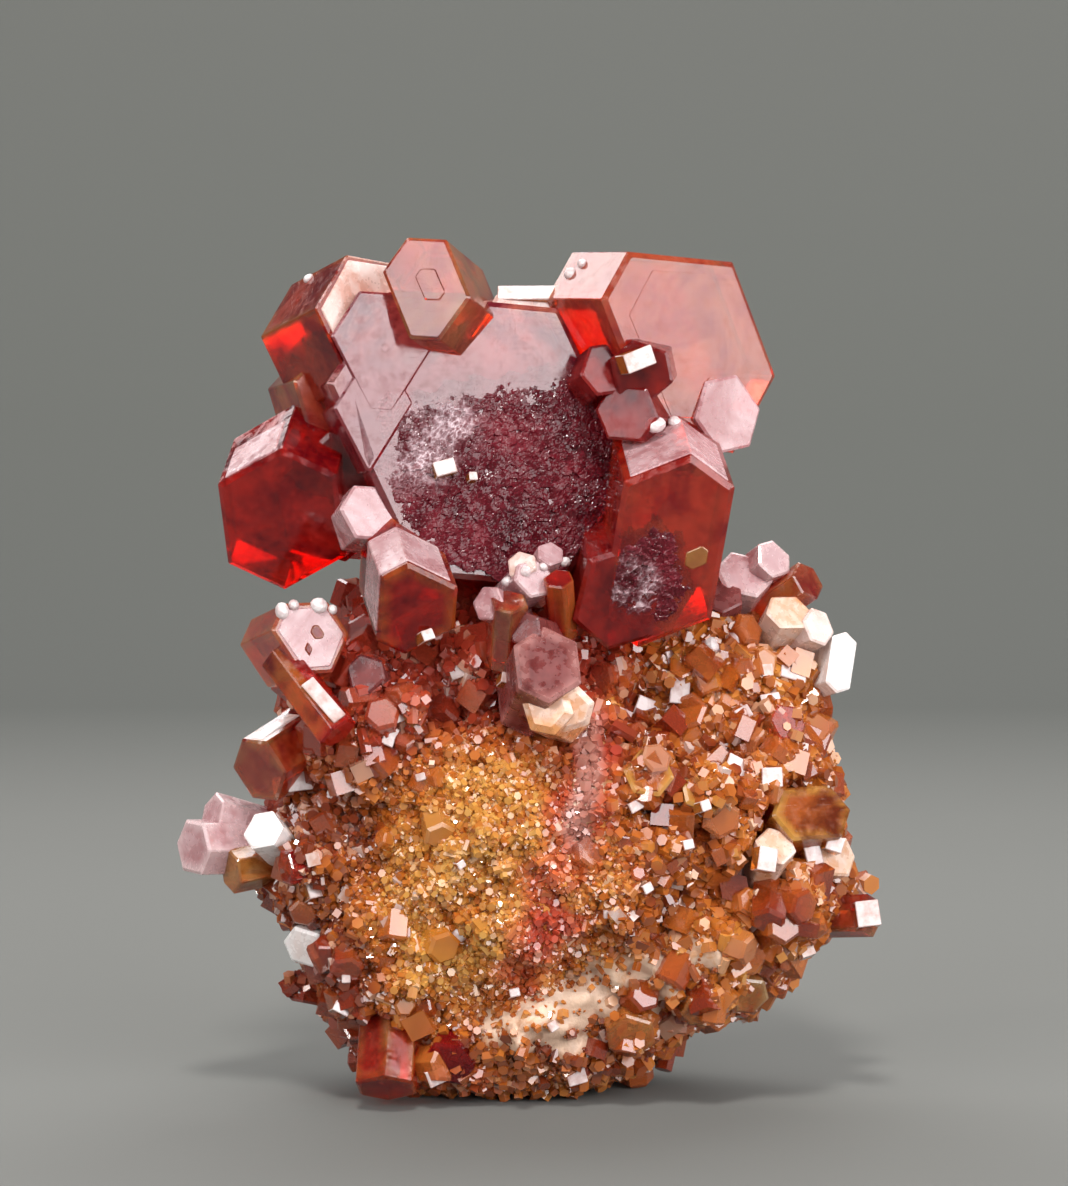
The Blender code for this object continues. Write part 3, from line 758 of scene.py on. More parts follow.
@dataclass
class BrightSpots:
    """Facets whose fronts are painted white as glints, and white grains, over the whole front."""

    sunk: float = 0.35
    start: float = -30.0
    sway: float = 12.0

    def place(self, grounds: list, x: float, z: float) -> Vector:
        """First surface behind a place that is seen from the front.

        Args:
            grounds: Trees of the surfaces.
            x: Place across, in millimetres.
            z: Height, in millimetres.

        Returns:
            The nearest point, in metres, or None where nothing lies behind.
        """
        eye = (Vector((x, self.start, z)) + CENTRING) * MM
        hits = [ground.ray_cast(eye, Vector((0.0, 1.0, 0.0))) for ground in grounds]
        hits = [hit for hit in hits if hit[0] is not None]
        return min(hits, key=lambda hit: hit[3])[0] if hits else None

    def build(
        self,
        grounds: list,
        glint_finish: bpy.types.Material,
        side_finish: bpy.types.Material,
        grain_finish: bpy.types.Material,
    ) -> None:
        """Makes the facets and the grains.

        Args:
            grounds: Trees of the surfaces that they stand on.
            glint_finish: Material of the facets' fronts, a painted glint.
            side_finish: Material of their sides.
            grain_finish: Material of the grains.
        """
        blocks = bmesh.new()
        dice = random.Random(4)
        for facet in GLINT_FACETS:
            heading = facet.heading + dice.uniform(-self.sway, self.sway)
            rise = facet.rise + dice.uniform(-self.sway, self.sway)
            spot = self.place(grounds, facet.x, facet.z)
            if spot is None:
                LOG.info("no surface behind the facet at %.1f, %.1f", facet.x, facet.z)
                continue
            right, up, outward = Crystal((0, 0, 0), heading, rise, 0, (), 0).axes()
            deep = facet.proud + self.sunk
            size = Matrix.Diagonal((facet.wide * MM, facet.high * MM, deep * MM, 1.0))
            turn = Matrix.Rotation(math.radians(facet.turn), 4, "Z")
            stand = Matrix((right, up, outward)).transposed().to_4x4()
            centre = spot + outward * (facet.proud - deep / 2.0) * MM
            placing = Matrix.Translation(centre) @ stand @ turn @ size
            corners = bmesh.ops.create_cube(blocks, size=1.0, matrix=placing)["verts"]
            # The face turned outward takes the painted glint finish, the other faces the amber one
            for side in {face for corner in corners for face in corner.link_faces}:
                side.normal_update()
                side.material_index = int(side.normal.dot(outward) < 0.9)
        bmesh.ops.bevel(blocks, geom=blocks.edges[:], offset=0.04 * MM, segments=1, affect="EDGES")
        mesh = finished("bright_facets", blocks, glint_finish, side_finish)
        dressed("bright_facets", mesh, ("matrix_rock",))
        rounds = bmesh.new()
        for x, z, radius in GRAINS:
            spot = self.place(grounds, x, z)
            if spot is None:
                LOG.info("no surface behind the grain at %.1f, %.1f", x, z)
                continue
            squash = [radius * MM * dice.uniform(0.8, 1.15) for _ in range(3)]
            turn = Matrix.Rotation(dice.uniform(0.0, 3.0), 4, "Y")
            placing = Matrix.Translation(spot) @ turn @ Matrix.Diagonal((*squash, 1.0))
            bmesh.ops.create_icosphere(rounds, subdivisions=2, radius=1.0, matrix=placing)
        mesh = finished("white_grains", rounds, grain_finish)
        dressed("white_grains", mesh, ("matrix_rock",))


LARGE = CrystalGroup("grown_cluster", "large_crystal_cluster", "deep_red_crystal", [
    Crystal((-2.06, -3.6, 31.28), 12, 4, 25, (5.6, 5.9, 7.2, 5.7, 6.9, 7.0), 8.5, 0.25, Look.MAIN),
    Crystal((-6.9, -3.03, 36.2), 34, 13, 22, (2.9, 2.95, 3.0, 2.9, 3.2, 2.9), 5.2, 0.08, Look.DEEP),
    Crystal((-8.2, -1.4, 32.6), 20, 4, 16, (2.6, 2.9, 2.7, 2.5, 2.9, 2.6), 4.6, 0.15, Look.BRIGHT),
    Crystal((-4.5, -5.9, 37.5), -17, 12, 26, (1.6, 2.45, 2.5, 1.7, 2.2, 1.75), 5.5, 0.15, Look.BRIGHT),
    Crystal((0.0, -2.2, 36.2), 8, 14, 30, (2.0, 1.4, 2.0, 2.0, 2.0, 2.0), 5.0, 0.2, Look.PALE),
    Crystal((7.41, -2.9, 34.99), 34, -2, 27, (3.95, 4.15, 5.4, 3.5, 4.65, 4.9), 4.7, 0.25, Look.BRIGHT),
    # Pink finish on this growth: a painted reflection that whitens it
    Crystal((9.2, -1.87, 32.0), 34, 2, 40, (1.6, 1.7, 1.7, 1.6, 1.7, 1.7), 4.5, 0.12, Look.PINK),
    Crystal((3.5, -4.5, 34.0), 16, 12, 38, (1.1, 1.2, 1.1, 1.15, 1.1, 1.2), 4.5, 0.12, Look.SHADED),
    Crystal((5.05, -5.0, 33.85), -8, -10, 10, (1.35, 1.3, 1.4, 1.3, 1.35, 1.25), 5.0, 0.12, Look.DARK),
    Crystal((4.4, -4.9, 32.0), -20, 6, 25, (1.3, 1.25, 1.4, 1.3, 1.2, 1.3), 5.0, 0.12, Look.SHADED),
    Crystal((6.0, -6.6, 25.7), 4, -20, -7, (2.7, 4.4, 3.9, 2.3, 4.3, 3.9), 7.4, 0.25, Look.DEEP),
    Crystal((4.1, -6.0, 23.6), 2, -18, -12, (1.8, 2.4, 2.3, 1.9, 2.2, 2.2), 6.0, 0.2, Look.DARK),
    Crystal((-11.4, -3.4, 27.1), -6, -28, 1, (2.75, 3.4, 3.05, 2.8, 3.4, 3.1), 4.6, 0.22, Look.DARK),
    Crystal((-8.9, -2.8, 28.0), 6, -6, 12, (2.4, 2.9, 2.6, 2.2, 2.6, 2.4), 5.5, 0.2, Look.DARK),
    Crystal((-7.25, -4.9, 27.5), 18, 14, 26, (1.2, 1.25, 1.3, 1.2, 1.2, 1.3), 4.5, 0.12, Look.PINK),
    Crystal((-2.5, 0.5, 27.2), 10, 12, 10, (4.2, 4.0, 4.4, 4.0, 4.6, 4.2), 7.0, 0.25, Look.DEEP),
    Crystal((3.5, 1.2, 29.8), 30, 10, 18, (3.2, 3.4, 3.0, 3.2, 3.4, 3.0), 6.0, 0.2, Look.DEEP),
    # growths at the left edge of the main face
    Crystal((-7.17, -4.72, 32.1), 13, 5, 27, (1.9, 2.7, 1.6, 1.5, 2.7, 1.4), 5.0, 0.12, Look.MAIN),
    Crystal((-7.06, -4.5, 34.95), 12, 4, 27, (2.3, 2.6, 2.0, 1.5, 2.8, 2.2), 4.4, 0.1, Look.MAIN),
])

MAIN_CRYSTAL = LARGE.crystals[0]
UPPER_LEFT_CRYSTAL = LARGE.crystals[1]
PROUD_CRYSTAL = LARGE.crystals[3]
UPPER_RIGHT_CRYSTAL = LARGE.crystals[5]
LOWER_RIGHT_CRYSTAL = LARGE.crystals[10]
LEFT_CRYSTAL = LARGE.crystals[12]
LARGE.crystals += [
    PROUD_CRYSTAL.step(0.0, 0.3, (0.5, 0.75, 0.85, 0.5, 0.7, 0.8), 0.05),
    UPPER_RIGHT_CRYSTAL.step(0.3, 0.4, (3.2, 3.1, 3.9, 2.9, 3.6, 4.0), 0.02),
    UPPER_RIGHT_CRYSTAL.step(1.9, -2.3, (1.2, 1.0, 1.3, 1.1, 1.2, 1.0), 0.05),
    MAIN_CRYSTAL.step(-4.6, 3.7, (0.22, 0.2, 0.24, 0.2, 0.22, 0.2), 0.12),
    UPPER_LEFT_CRYSTAL.step(0.0, 0.05, (2.6, 2.7, 2.75, 2.6, 2.9, 2.6), 0.07, Look.PALE),
    # Painted sheen: a paler skin on two side faces of the lower right crystal
    LOWER_RIGHT_CRYSTAL.skin((1, 2), Look.PINK),
    LOWER_RIGHT_CRYSTAL.step(1.5, -0.2, (0.5, 0.62, 0.45, 0.5, 0.58, 0.45), 0.04, Look.AMBER),
    # Painted sheen: a paler skin on one side face of the left crystal
    LEFT_CRYSTAL.skin((2,), Look.PINK),
]
ETCHED_FACES = (
    EtchedFace("etched_main_face", MAIN_CRYSTAL, (
        (-5.6, -2.2), (-4.8, -1.2), (-5.0, 1.2), (-3.6, 1.8), (-1.5, 2.1), (0.5, 2.6), (2.6, 2.7), (3.8, 3.4),
        (8.0, 3.4), (8.0, -9.0), (-3.0, -9.0), (-4.4, -5.0),
    ), (-3.4, 0.4, 3.8), fade=2.8),
    EtchedFace("etched_lower_face", LOWER_RIGHT_CRYSTAL, (
        (-3.2, -1.8), (-2.2, 0.4), (-0.6, 1.6), (0.9, 1.2),
        (1.0, -0.6), (1.6, -1.8), (0.6, -3.6), (-1.6, -3.9),
    ), (-1.6, -1.5, 1.8), seed=9),
)

FRONT_CRYSTAL = Crystal(
    (-5.2, -7.0, 23.2), 14, -28, 2, (1.95, 1.9, 2.3, 1.6, 2.2, 1.95), 5.0, 0.18, Look.DARK)
BLOCK_CRYSTAL = Crystal(
    (-12.5, -3.6, 15.6), -34, -18, 28, (1.4, 1.5, 1.35, 1.4, 1.5, 1.35), 4.8, 0.14, Look.BRIGHT)
WHITE_HEXAGON = Crystal(
    (-9.9, -5.8, 21.95), 24, 12, 31, (1.6, 1.55, 1.8, 1.45, 1.7, 1.6), 4.6, 0.14, Look.BRIGHT)
GROUPS = [
    CrystalGroup("front_red", "front_red_crystal", "bright_red_crystal", [
        # Painted sheen: a paler skin on three side faces
        FRONT_CRYSTAL, FRONT_CRYSTAL.skin((1, 2, 3), Look.PINK),
    ]),
    CrystalGroup("front_small", "front_small_crystals", "pink_crystal", [
        Crystal((0.2, -6.2, 24.6), 20, 20, 40, (0.8, 0.8, 0.9, 0.8, 0.85, 0.8), 4.0, 0.1, Look.PINK),
        Crystal((-0.95, -6.9, 23.6), 8, 58, 5, (0.8, 0.85, 0.8, 0.75, 0.85, 0.8), 3.4, 0.1, Look.BRIGHT),
        Crystal((1.3, -6.5, 24.6), -6, 52, 20, (0.6, 0.65, 0.6, 0.65, 0.6, 0.6), 3.4, 0.1, Look.DARK),
        Crystal((-0.4, -6.0, 25.2), -18, 28, 15, (0.65, 0.6, 0.65, 0.6, 0.65, 0.6), 3.2, 0.08, Look.PALE),
        Crystal((0.95, -5.7, 25.7), 24, 34, 48, (0.6, 0.55, 0.6, 0.6, 0.55, 0.6), 3.2, 0.08, Look.PINK),
        Crystal((-1.9, -6.7, 23.5), -28, 16, 30, (0.7, 0.75, 0.7, 0.7, 0.75, 0.7), 3.2, 0.08, Look.PINK),
        Crystal((-0.2, -7.2, 22.3), -25, 10, 12, (0.7, 0.75, 0.7, 0.75, 0.7, 0.7), 3.6, 0.08, Look.ROSE),
    ]),
    CrystalGroup("front_pink", "front_pink_crystal", "pink_crystal", [
        Crystal((0.75, -8.0, 20.9), 12, 26, 1, (1.5, 1.6, 1.5, 1.4, 1.7, 1.6), 4.6, 0.16, Look.ROSE),
        Crystal((0.7, -8.1, 18.9), -14, 12, 20, (1.1, 1.0, 1.1, 1.0, 1.1, 1.1), 3.8, 0.3, Look.ALTERED),
        Crystal((1.9, -8.0, 18.8), 16, -6, 46, (0.95, 1.0, 0.9, 1.0, 0.95, 1.0), 3.8, 0.3, Look.ALTERED),
    ]),
    CrystalGroup("lower_left", "lower_left_crystals", "white_faced_crystal", [
        WHITE_HEXAGON,
        WHITE_HEXAGON.step(0.0, 0.0, (1.35, 1.3, 1.55, 1.2, 1.45, 1.35), 0.04, Look.PINK),
        WHITE_HEXAGON.step(0.25, 0.15, (0.28, 0.34, 0.3, 0.26, 0.3, 0.36), 0.09, Look.DARK),
        WHITE_HEXAGON.step(-0.2, -0.6, (0.16, 0.3, 0.18, 0.16, 0.3, 0.16), 0.12, Look.DARK),
        Crystal((-8.6, -7.0, 17.6), 58, -46, 8, (0.9, 0.85, 0.95, 0.9, 0.85, 0.95), 4.8, 0.12, Look.DARK),
    ]),
    CrystalGroup("left_block", "left_block_crystal", "bright_red_crystal", [
        # Painted highlight: a white skin on one side face
        BLOCK_CRYSTAL, BLOCK_CRYSTAL.skin((1,), Look.WHITE),
    ]),
    CrystalGroup("far_left", "far_left_crystals", "pink_crystal", [
        Crystal((-15.7, -2.4, 11.9), -52, 4, 29, (1.3, 1.2, 1.3, 1.3, 1.2, 1.3), 6.4, 0.14, Look.PINK),
        Crystal((-14.9, -1.4, 13.3), -60, 18, 12, (1.0, 0.95, 1.0, 1.0, 0.95, 1.0), 5.6, 0.1, Look.PINK),
        Crystal((-12.3, -3.9, 12.9), -24, 30, 44, (0.85, 0.9, 0.85, 0.9, 0.85, 0.9), 4.2, 0.1, Look.WHITE),
        Crystal((-13.9, -2.8, 10.8), -56, -6, 5, (0.9, 0.95, 0.9, 0.9, 0.95, 0.9), 5.2, 0.1, Look.AMBER),
    ]),
    CrystalGroup("left_white", "left_white_crystal", "white_faced_crystal", [
        # Painted highlight: this crystal is made near white where its face glares
        Crystal((-10.5, -2.6, 7.2), -28, -14, 18, (1.05, 0.9, 1.0, 1.05, 0.9, 1.0), 4.6, 0.14, Look.WHITE),
    ]),
    CrystalGroup("bottom_left", "bottom_left_crystal", "bright_red_crystal", [
        Crystal((-6.6, -4.7, 1.0), -4, -58, 2, (1.3, 1.4, 1.3, 1.35, 1.4, 1.3), 4.2, 0.14, Look.DEEP),
    ]),
    CrystalGroup("bottom_right", "bottom_right_crystal", "orange_crystal", [
        Crystal((10.2, -3.2, 5.0), 16, -22, 20, (0.85, 0.9, 0.9, 0.85, 0.9, 0.85), 4.8, 0.12, Look.AMBER),
    ]),
    CrystalGroup("right_edge", "right_edge_crystal", "bright_red_crystal", [
        Crystal((15.9, -2.4, 8.7), 56, 6, 6, (0.9, 0.9, 0.9, 0.9, 0.9, 0.9), 4.8, 0.12, Look.BRIGHT),
    ]),
    CrystalGroup("right_tabular", "right_tabular_crystals", "orange_crystal", [
        Crystal((12.9, -4.6, 13.8), 18, 30, 32, (1.7, 1.3, 1.7, 1.7, 1.3, 1.7), 4.6, 0.14, Look.TABULAR),
        Crystal((11.2, -5.6, 12.4), 16, 40, 10, (0.85, 0.9, 0.85, 0.85, 0.9, 0.85), 4.4, 0.1, Look.ALTERED),
        Crystal((14.2, -3.4, 11.6), 44, 14, 22, (1.15, 0.9, 1.15, 1.1, 0.9, 1.1), 4.4, 0.12, Look.ALTERED),
    ]),
    CrystalGroup("right_rear", "right_rear_crystals", "pink_crystal", [
        Crystal((10.1, 0.2, 24.5), 14, 34, 14, (1.25, 1.1, 1.2, 1.25, 1.1, 1.2), 5.0, 0.14, Look.PINK),
        Crystal((11.5, 0.3, 25.2), 34, 26, 42, (0.85, 0.9, 0.85, 0.9, 0.85, 0.9), 4.8, 0.1, Look.PINK),
        Crystal((13.1, 0.2, 24.2), 46, 30, 8, (0.9, 0.9, 0.85, 0.9, 0.9, 0.85), 5.4, 0.1, Look.BRIGHT),
        Crystal((12.1, -1.2, 22.8), 20, 40, 30, (1.0, 0.9, 1.0, 1.05, 0.9, 1.0), 4.6, 0.12, Look.ALTERED),
        Crystal((13.5, -1.1, 22.1), 36, 22, 10, (0.8, 0.85, 0.8, 0.8, 0.85, 0.8), 4.4, 0.1, Look.PALE),
        Crystal((14.6, -0.9, 20.4), 24, 12, -16, (0.65, 1.3, 1.3, 0.65, 1.3, 1.3), 4.8, 0.12, Look.WHITE),
        Crystal((9.0, -0.8, 23.5), 4, 44, 0, (0.9, 0.9, 0.85, 0.9, 0.9, 0.85), 4.4, 0.1, Look.ROSE),
    ]),
    CrystalGroup("rear_red", "rear_red_crystals", "bright_red_crystal", [
        Crystal((3.4, 10.4, 17.5), 168, 20, 12, (2.0, 1.8, 1.9, 2.0, 1.8, 1.9), 5.0, 0.2, Look.DEEP),
        Crystal((0.4, 10.2, 19.2), 186, 32, 30, (1.4, 1.5, 1.4, 1.5, 1.4, 1.5), 5.0, 0.16, Look.BRIGHT),
        Crystal((3.2, 9.6, 20.6), 170, 48, 4, (1.2, 1.3, 1.2, 1.3, 1.2, 1.3), 4.8, 0.14, Look.BRIGHT),
    ]),
    CrystalGroup("standing", "matrix_rock", "crusted_rock", [
        Crystal((5.4, -6.6, 15.8), 8, 24, 20, (1.0, 1.1, 1.0, 1.05, 1.0, 1.0), 3.2, 0.12, Look.TABULAR),
        Crystal((8.0, -6.4, 15.1), 14, 28, 5, (1.15, 1.0, 1.2, 1.1, 1.05, 1.2), 3.4, 0.14, Look.TABULAR),
        Crystal((11.9, -3.4, 17.8), 34, 22, 18, (0.9, 0.85, 0.9, 0.9, 0.85, 0.9), 3.4, 0.1, Look.DEEP),
        Crystal((-11.2, -5.0, 11.3), -62, -4, 30, (0.8, 0.75, 0.8, 0.8, 0.75, 0.8), 4.4, 0.1, Look.DEEP),
        Crystal((-5.3, -5.6, 18.9), 5, 48, 0, (0.5, 0.55, 0.5, 0.5, 0.55, 0.5), 2.8, 0.08, Look.AMBER),
        Crystal((-7.5, -5.2, 20.2), -12, 10, 15, (0.85, 0.8, 0.85, 0.8, 0.85, 0.8), 3.4, 0.1, Look.ROSE),
        Crystal((4.6, -5.0, 3.5), 6, -22, 10, (1.1, 1.0, 1.1, 1.05, 1.0, 1.1), 3.4, 0.12, Look.AMBER),
        Crystal((-3.8, -4.7, 2.1), -10, -26, 25, (1.1, 1.15, 1.1, 1.1, 1.05, 1.1), 3.4, 0.12, Look.DARK),
        Crystal((7.8, -5.1, 4.7), 14, -24, 40, (0.8, 0.75, 0.8, 0.8, 0.75, 0.8), 3.2, 0.1, Look.AMBER),
    ]),
]


# A full turn of a planted crystal, and how strongly the sizes lean to the small ones
FULL_TURN = 6.283
SMALL_BIAS = 2.2


def paint(mesh: bpy.types.Mesh, **layers: np.ndarray) -> None:
    """Stores numbers on a mesh's vertices for its material or a node tree to read."""
    for name, numbers in layers.items():
        layer = mesh.attributes.new(name, "FLOAT", "POINT")
        layer.data.foreach_set("value", numbers.astype(np.float32))


class ScatterTree(Wiring):
    """A node tree that plants small crystals over a surface."""

    inputs = (
        ("Density", "NodeSocketFloat"), ("Smallest", "NodeSocketFloat"), ("Largest", "NodeSocketFloat"),
        ("Slimmest", "NodeSocketFloat"), ("Longest", "NodeSocketFloat"), ("Lean", "NodeSocketFloat"),
        ("Seed", "NodeSocketInt"), ("Form", "NodeSocketObject"), ("Finish", "NodeSocketMaterial"),
    )

    def __init__(self) -> None:
        """Builds the tree once."""
        super().__init__(bpy.data.node_groups.new("planted_crystals", "GeometryNodeTree"))
        face = self.tree.interface
        face.new_socket("Surface", in_out="INPUT", socket_type="NodeSocketGeometry")
        self.sockets = {}
        for name, kind in self.inputs:
            self.sockets[name] = face.new_socket(name, in_out="INPUT", socket_type=kind).identifier
        face.new_socket("Crystals", in_out="OUTPUT", socket_type="NodeSocketGeometry")
        self.wire()

    def dice(
        self, low: object, high: object, offset: int, seed: bpy.types.NodeSocket,
    ) -> bpy.types.NodeSocket:
        """A random number for each crystal, with its own share of the seed."""
        feeds = {"Seed": self.maths("ADD", seed, offset), 2: low, 3: high}
        return self.add("FunctionNodeRandomValue", feeds, data_type="FLOAT").outputs[1]

    def wire(self) -> None:
        """Links the nodes from the surface to the finished crystals."""
        source = self.add("NodeGroupInput").outputs
        seed, lean = source["Seed"], source["Lean"]
        cover = self.add("GeometryNodeInputNamedAttribute", {"Name": "cover"}, data_type="FLOAT").outputs[0]
        density = self.maths("MULTIPLY", source["Density"], cover)
        feeds = {"Mesh": source["Surface"], "Density": density, "Seed": seed}
        spread = self.add("GeometryNodeDistributePointsOnFaces", feeds).outputs
        back = self.maths("MULTIPLY", lean, -1.0)
        sway = {axis: self.dice(back, lean, 11 + axis, seed) for axis in range(3)}
        tilt = self.add("ShaderNodeCombineXYZ", sway).outputs[0]
        way = self.add("ShaderNodeVectorMath", {0: spread["Normal"], 1: tilt}, operation="ADD").outputs[0]
        stand = self.add("FunctionNodeAlignRotationToVector", {"Vector": way}, axis="Z").outputs[0]
        feeds = {"Axis": (0.0, 0.0, 1.0), "Angle": self.dice(0.0, FULL_TURN, 21, seed)}
        spin = self.add("FunctionNodeAxisAngleToRotation", feeds).outputs[0]
        feeds = {0: stand, 1: spin}
        turned = self.add("FunctionNodeRotateRotation", feeds, rotation_space="LOCAL").outputs[0]
        rank = self.maths("POWER", self.dice(0.0, 1.0, 31, seed), SMALL_BIAS)
        feeds = {"Value": rank, "To Min": source["Smallest"], "To Max": source["Largest"]}
        wide = self.add("ShaderNodeMapRange", feeds).outputs["Result"]
        long = self.maths("MULTIPLY", wide, self.dice(source["Slimmest"], source["Longest"], 41, seed))
        scale = self.add("ShaderNodeCombineXYZ", {"X": wide, "Y": wide, "Z": long}).outputs[0]
        form = self.add("GeometryNodeObjectInfo", {"Object": source["Form"]}).outputs["Geometry"]
        feeds = {"Points": spread["Points"], "Instance": form, "Rotation": turned, "Scale": scale}
        plants = self.add("GeometryNodeInstanceOnPoints", feeds).outputs[0]
        feeds = {"Name": "tint", "Geometry": plants, "Value": self.dice(0.0, 1.0, 51, seed)}
        mark = self.add("GeometryNodeStoreNamedAttribute", feeds, data_type="FLOAT", domain="INSTANCE")
        real = self.add("GeometryNodeRealizeInstances", {0: mark.outputs[0]}).outputs[0]
        finish = self.add("GeometryNodeSetMaterial", {"Geometry": real, "Material": source["Finish"]})
        self.add("NodeGroupOutput", {0: finish.outputs[0]})

    def plant(self, name: str, surface: bpy.types.Mesh, cover: np.ndarray, **values) -> bpy.types.Mesh:
        """Plants crystals over a surface.

        Args:
            name: Name of the new mesh.
            surface: The mesh that they stand on.
            cover: Share of the density at each vertex.
            values: The tree's inputs, by name.

        Returns:
            The planted crystals as one plain mesh.
        """
        ground = surface.copy()
        paint(ground, cover=cover)
        item = linked(name + "_ground", ground)
        step = item.modifiers.new("planted", "NODES")
        step.node_group = self.tree
        for label, value in values.items():
            step[self.sockets[label]] = value
        item.update_tag()
        made = evaluated(item)
        made.name = name
        bpy.data.objects.remove(item)
        return made


def grain_form(name: str, sides: int, top: float) -> bpy.types.Object:
    """A small crystal, one unit wide and high, for planting.

    Args:
        name: The object's name.
        sides: How many sides it has.
        top: Share of the width that its top face keeps.

    Returns:
        An object at the origin that is removed again after planting.
    """
    shape = bmesh.new()
    rings = [(-0.5, 1.0), (0.5, 1.0)] if top == 1.0 else [(-0.5, 1.0), (0.42, 1.0), (0.5, top)]
    loops = []
    for height, share in rings:
        ring = []
        for side in range(sides):
            angle = math.tau * side / sides
            spot = Vector((math.cos(angle), math.sin(angle))) * 0.5 * share
            ring.append(shape.verts.new((spot.x, spot.y, height)))
        loops.append(ring)
    shape.faces.new(loops[-1])
    shape.faces.new(list(reversed(loops[0])))
    for lower, upper in zip(loops, loops[1:]):
        for side in range(sides):
            after = (side + 1) % sides
            shape.faces.new((lower[side], lower[after], upper[after], upper[side]))
    return linked(name, finished(name, shape))


@dataclass(frozen=True)
class CrustFinish:
    """Colours of the small crystals, from the yellow middle to the red-brown edges."""

    yellow: tuple = (0.8, 0.4, 0.08)
    orange: tuple = (0.6, 0.16, 0.02)
    brown: tuple = (0.24, 0.04, 0.012)
    red: tuple = (0.64, 0.07, 0.04)
    # pale is the colour of the painted glints on a few crystals
    pale: tuple = (0.88, 0.58, 0.42)
    rose: tuple = (0.62, 0.26, 0.2)
    clearness: float = 0.3

    def material(self, name: str) -> bpy.types.Material:
        """Builds the material of the planted crystals."""
        shader = Shader(name)
        tint = shader.attribute("tint")
        warmth = shader.attribute("warmth")
        spread = shader.maths("MULTIPLY", shader.maths("SUBTRACT", tint, 0.5), 0.5)
        mixed = shader.maths("ADD", warmth, spread)
        colour = shader.ramp(mixed, (0.05, self.brown), (0.45, self.orange), (0.95, self.yellow))
        colour = shader.mix(shader.attribute("redness"), colour, self.red)
        colour = shader.mix(shader.attribute("vein"), colour, self.rose)
        # The few crystals with the highest tint turn pale: painted glints
        light = shader.maths("MULTIPLY", shader.span(tint, 0.91, 0.99), 0.6)
        colour = shader.mix(light, colour, self.pale)
        shader.wear(colour, shader.span(tint, 0.0, 1.0, 0.05, 0.24))
        shader.fixed(IOR=1.9, Transmission_Weight=self.clearness)
        return shader.material


@dataclass(frozen=True)
class RockFinish:
    """The rock under the crust, with a bare creamy patch low at the front."""

    dark: tuple = (0.12, 0.02, 0.005)
    light: tuple = (0.85, 0.33, 0.05)
    cream: tuple = (0.66, 0.46, 0.33)

    def material(self, name: str) -> bpy.types.Material:
        """Builds the rock's material."""
        shader = Shader(name)
        cloud = shader.noise(700.0, 5.0, 0.65)
        clouded = shader.span(cloud, 0.3, 0.7, 0.5, 1.4)
        share = shader.maths("MULTIPLY", shader.attribute("warmth"), clouded)
        colour = shader.ramp(share, (0.15, self.dark), (0.8, self.light))
        stain = shader.span(shader.noise(900.0, 4.0), 0.5, 0.62, 1.0, 0.45)
        creamy = shader.maths("MULTIPLY", shader.attribute("cream"), stain)
        shader.wear(shader.mix(creamy, colour, self.cream))
        shader.fixed(Roughness=0.35, IOR=1.55)
        shader.relief(shader.noise(2200.0, 5.0, 0.65), 0.6, 0.12 * MM)
        return shader.material


def ripples(spots: np.ndarray, pitch: float, seed: int, count: int = 14) -> np.ndarray:
    """Irregular waves through space, mostly between -1 and 1.

    Args:
        spots: Points, in millimetres.
        pitch: Length of the waves, in millimetres.
        seed: Seed of their directions.
        count: How many waves run through each other.

    Returns:
        One value for each point.
    """
    dice = np.random.default_rng(seed)
    ways = dice.normal(size=(count, 3))
    lengths = np.linalg.norm(ways, axis=1)[:, None]
    ways *= (2.0 * math.pi / pitch) * dice.uniform(0.6, 1.5, (count, 1)) / lengths
    phases = dice.uniform(0.0, 2.0 * math.pi, count)
    return np.sin(spots @ ways.T + phases).sum(1) / math.sqrt(count)


class Zone(Enum):
    """Parts of the rock's surface."""

    GOLD = "gold"
    LEFT = "left"
    RIGHT = "right"
    BACK = "back"
    RIM = "rim"


class Form(Enum):
    """Shapes of the planted crystals."""

    PRISM = "prism"
    CUT_PRISM = "cut_prism"
    BLOCK = "block"


class Dress(Enum):
    """Finishes of the planted crystals."""

    CRUST = "crust"
    CLEAR = "clear_crust"
    PALE = "pale_block"


@dataclass(frozen=True)
class Batch:
    """One planting: where, how many to a square millimetre, and the sizes."""

    name: str
    zone: Zone
    form: Form
    density: float
    smallest: float
    largest: float
    slim: float
    long: float
    lean: float
    seed: int
    dress: Dress = Dress.CRUST


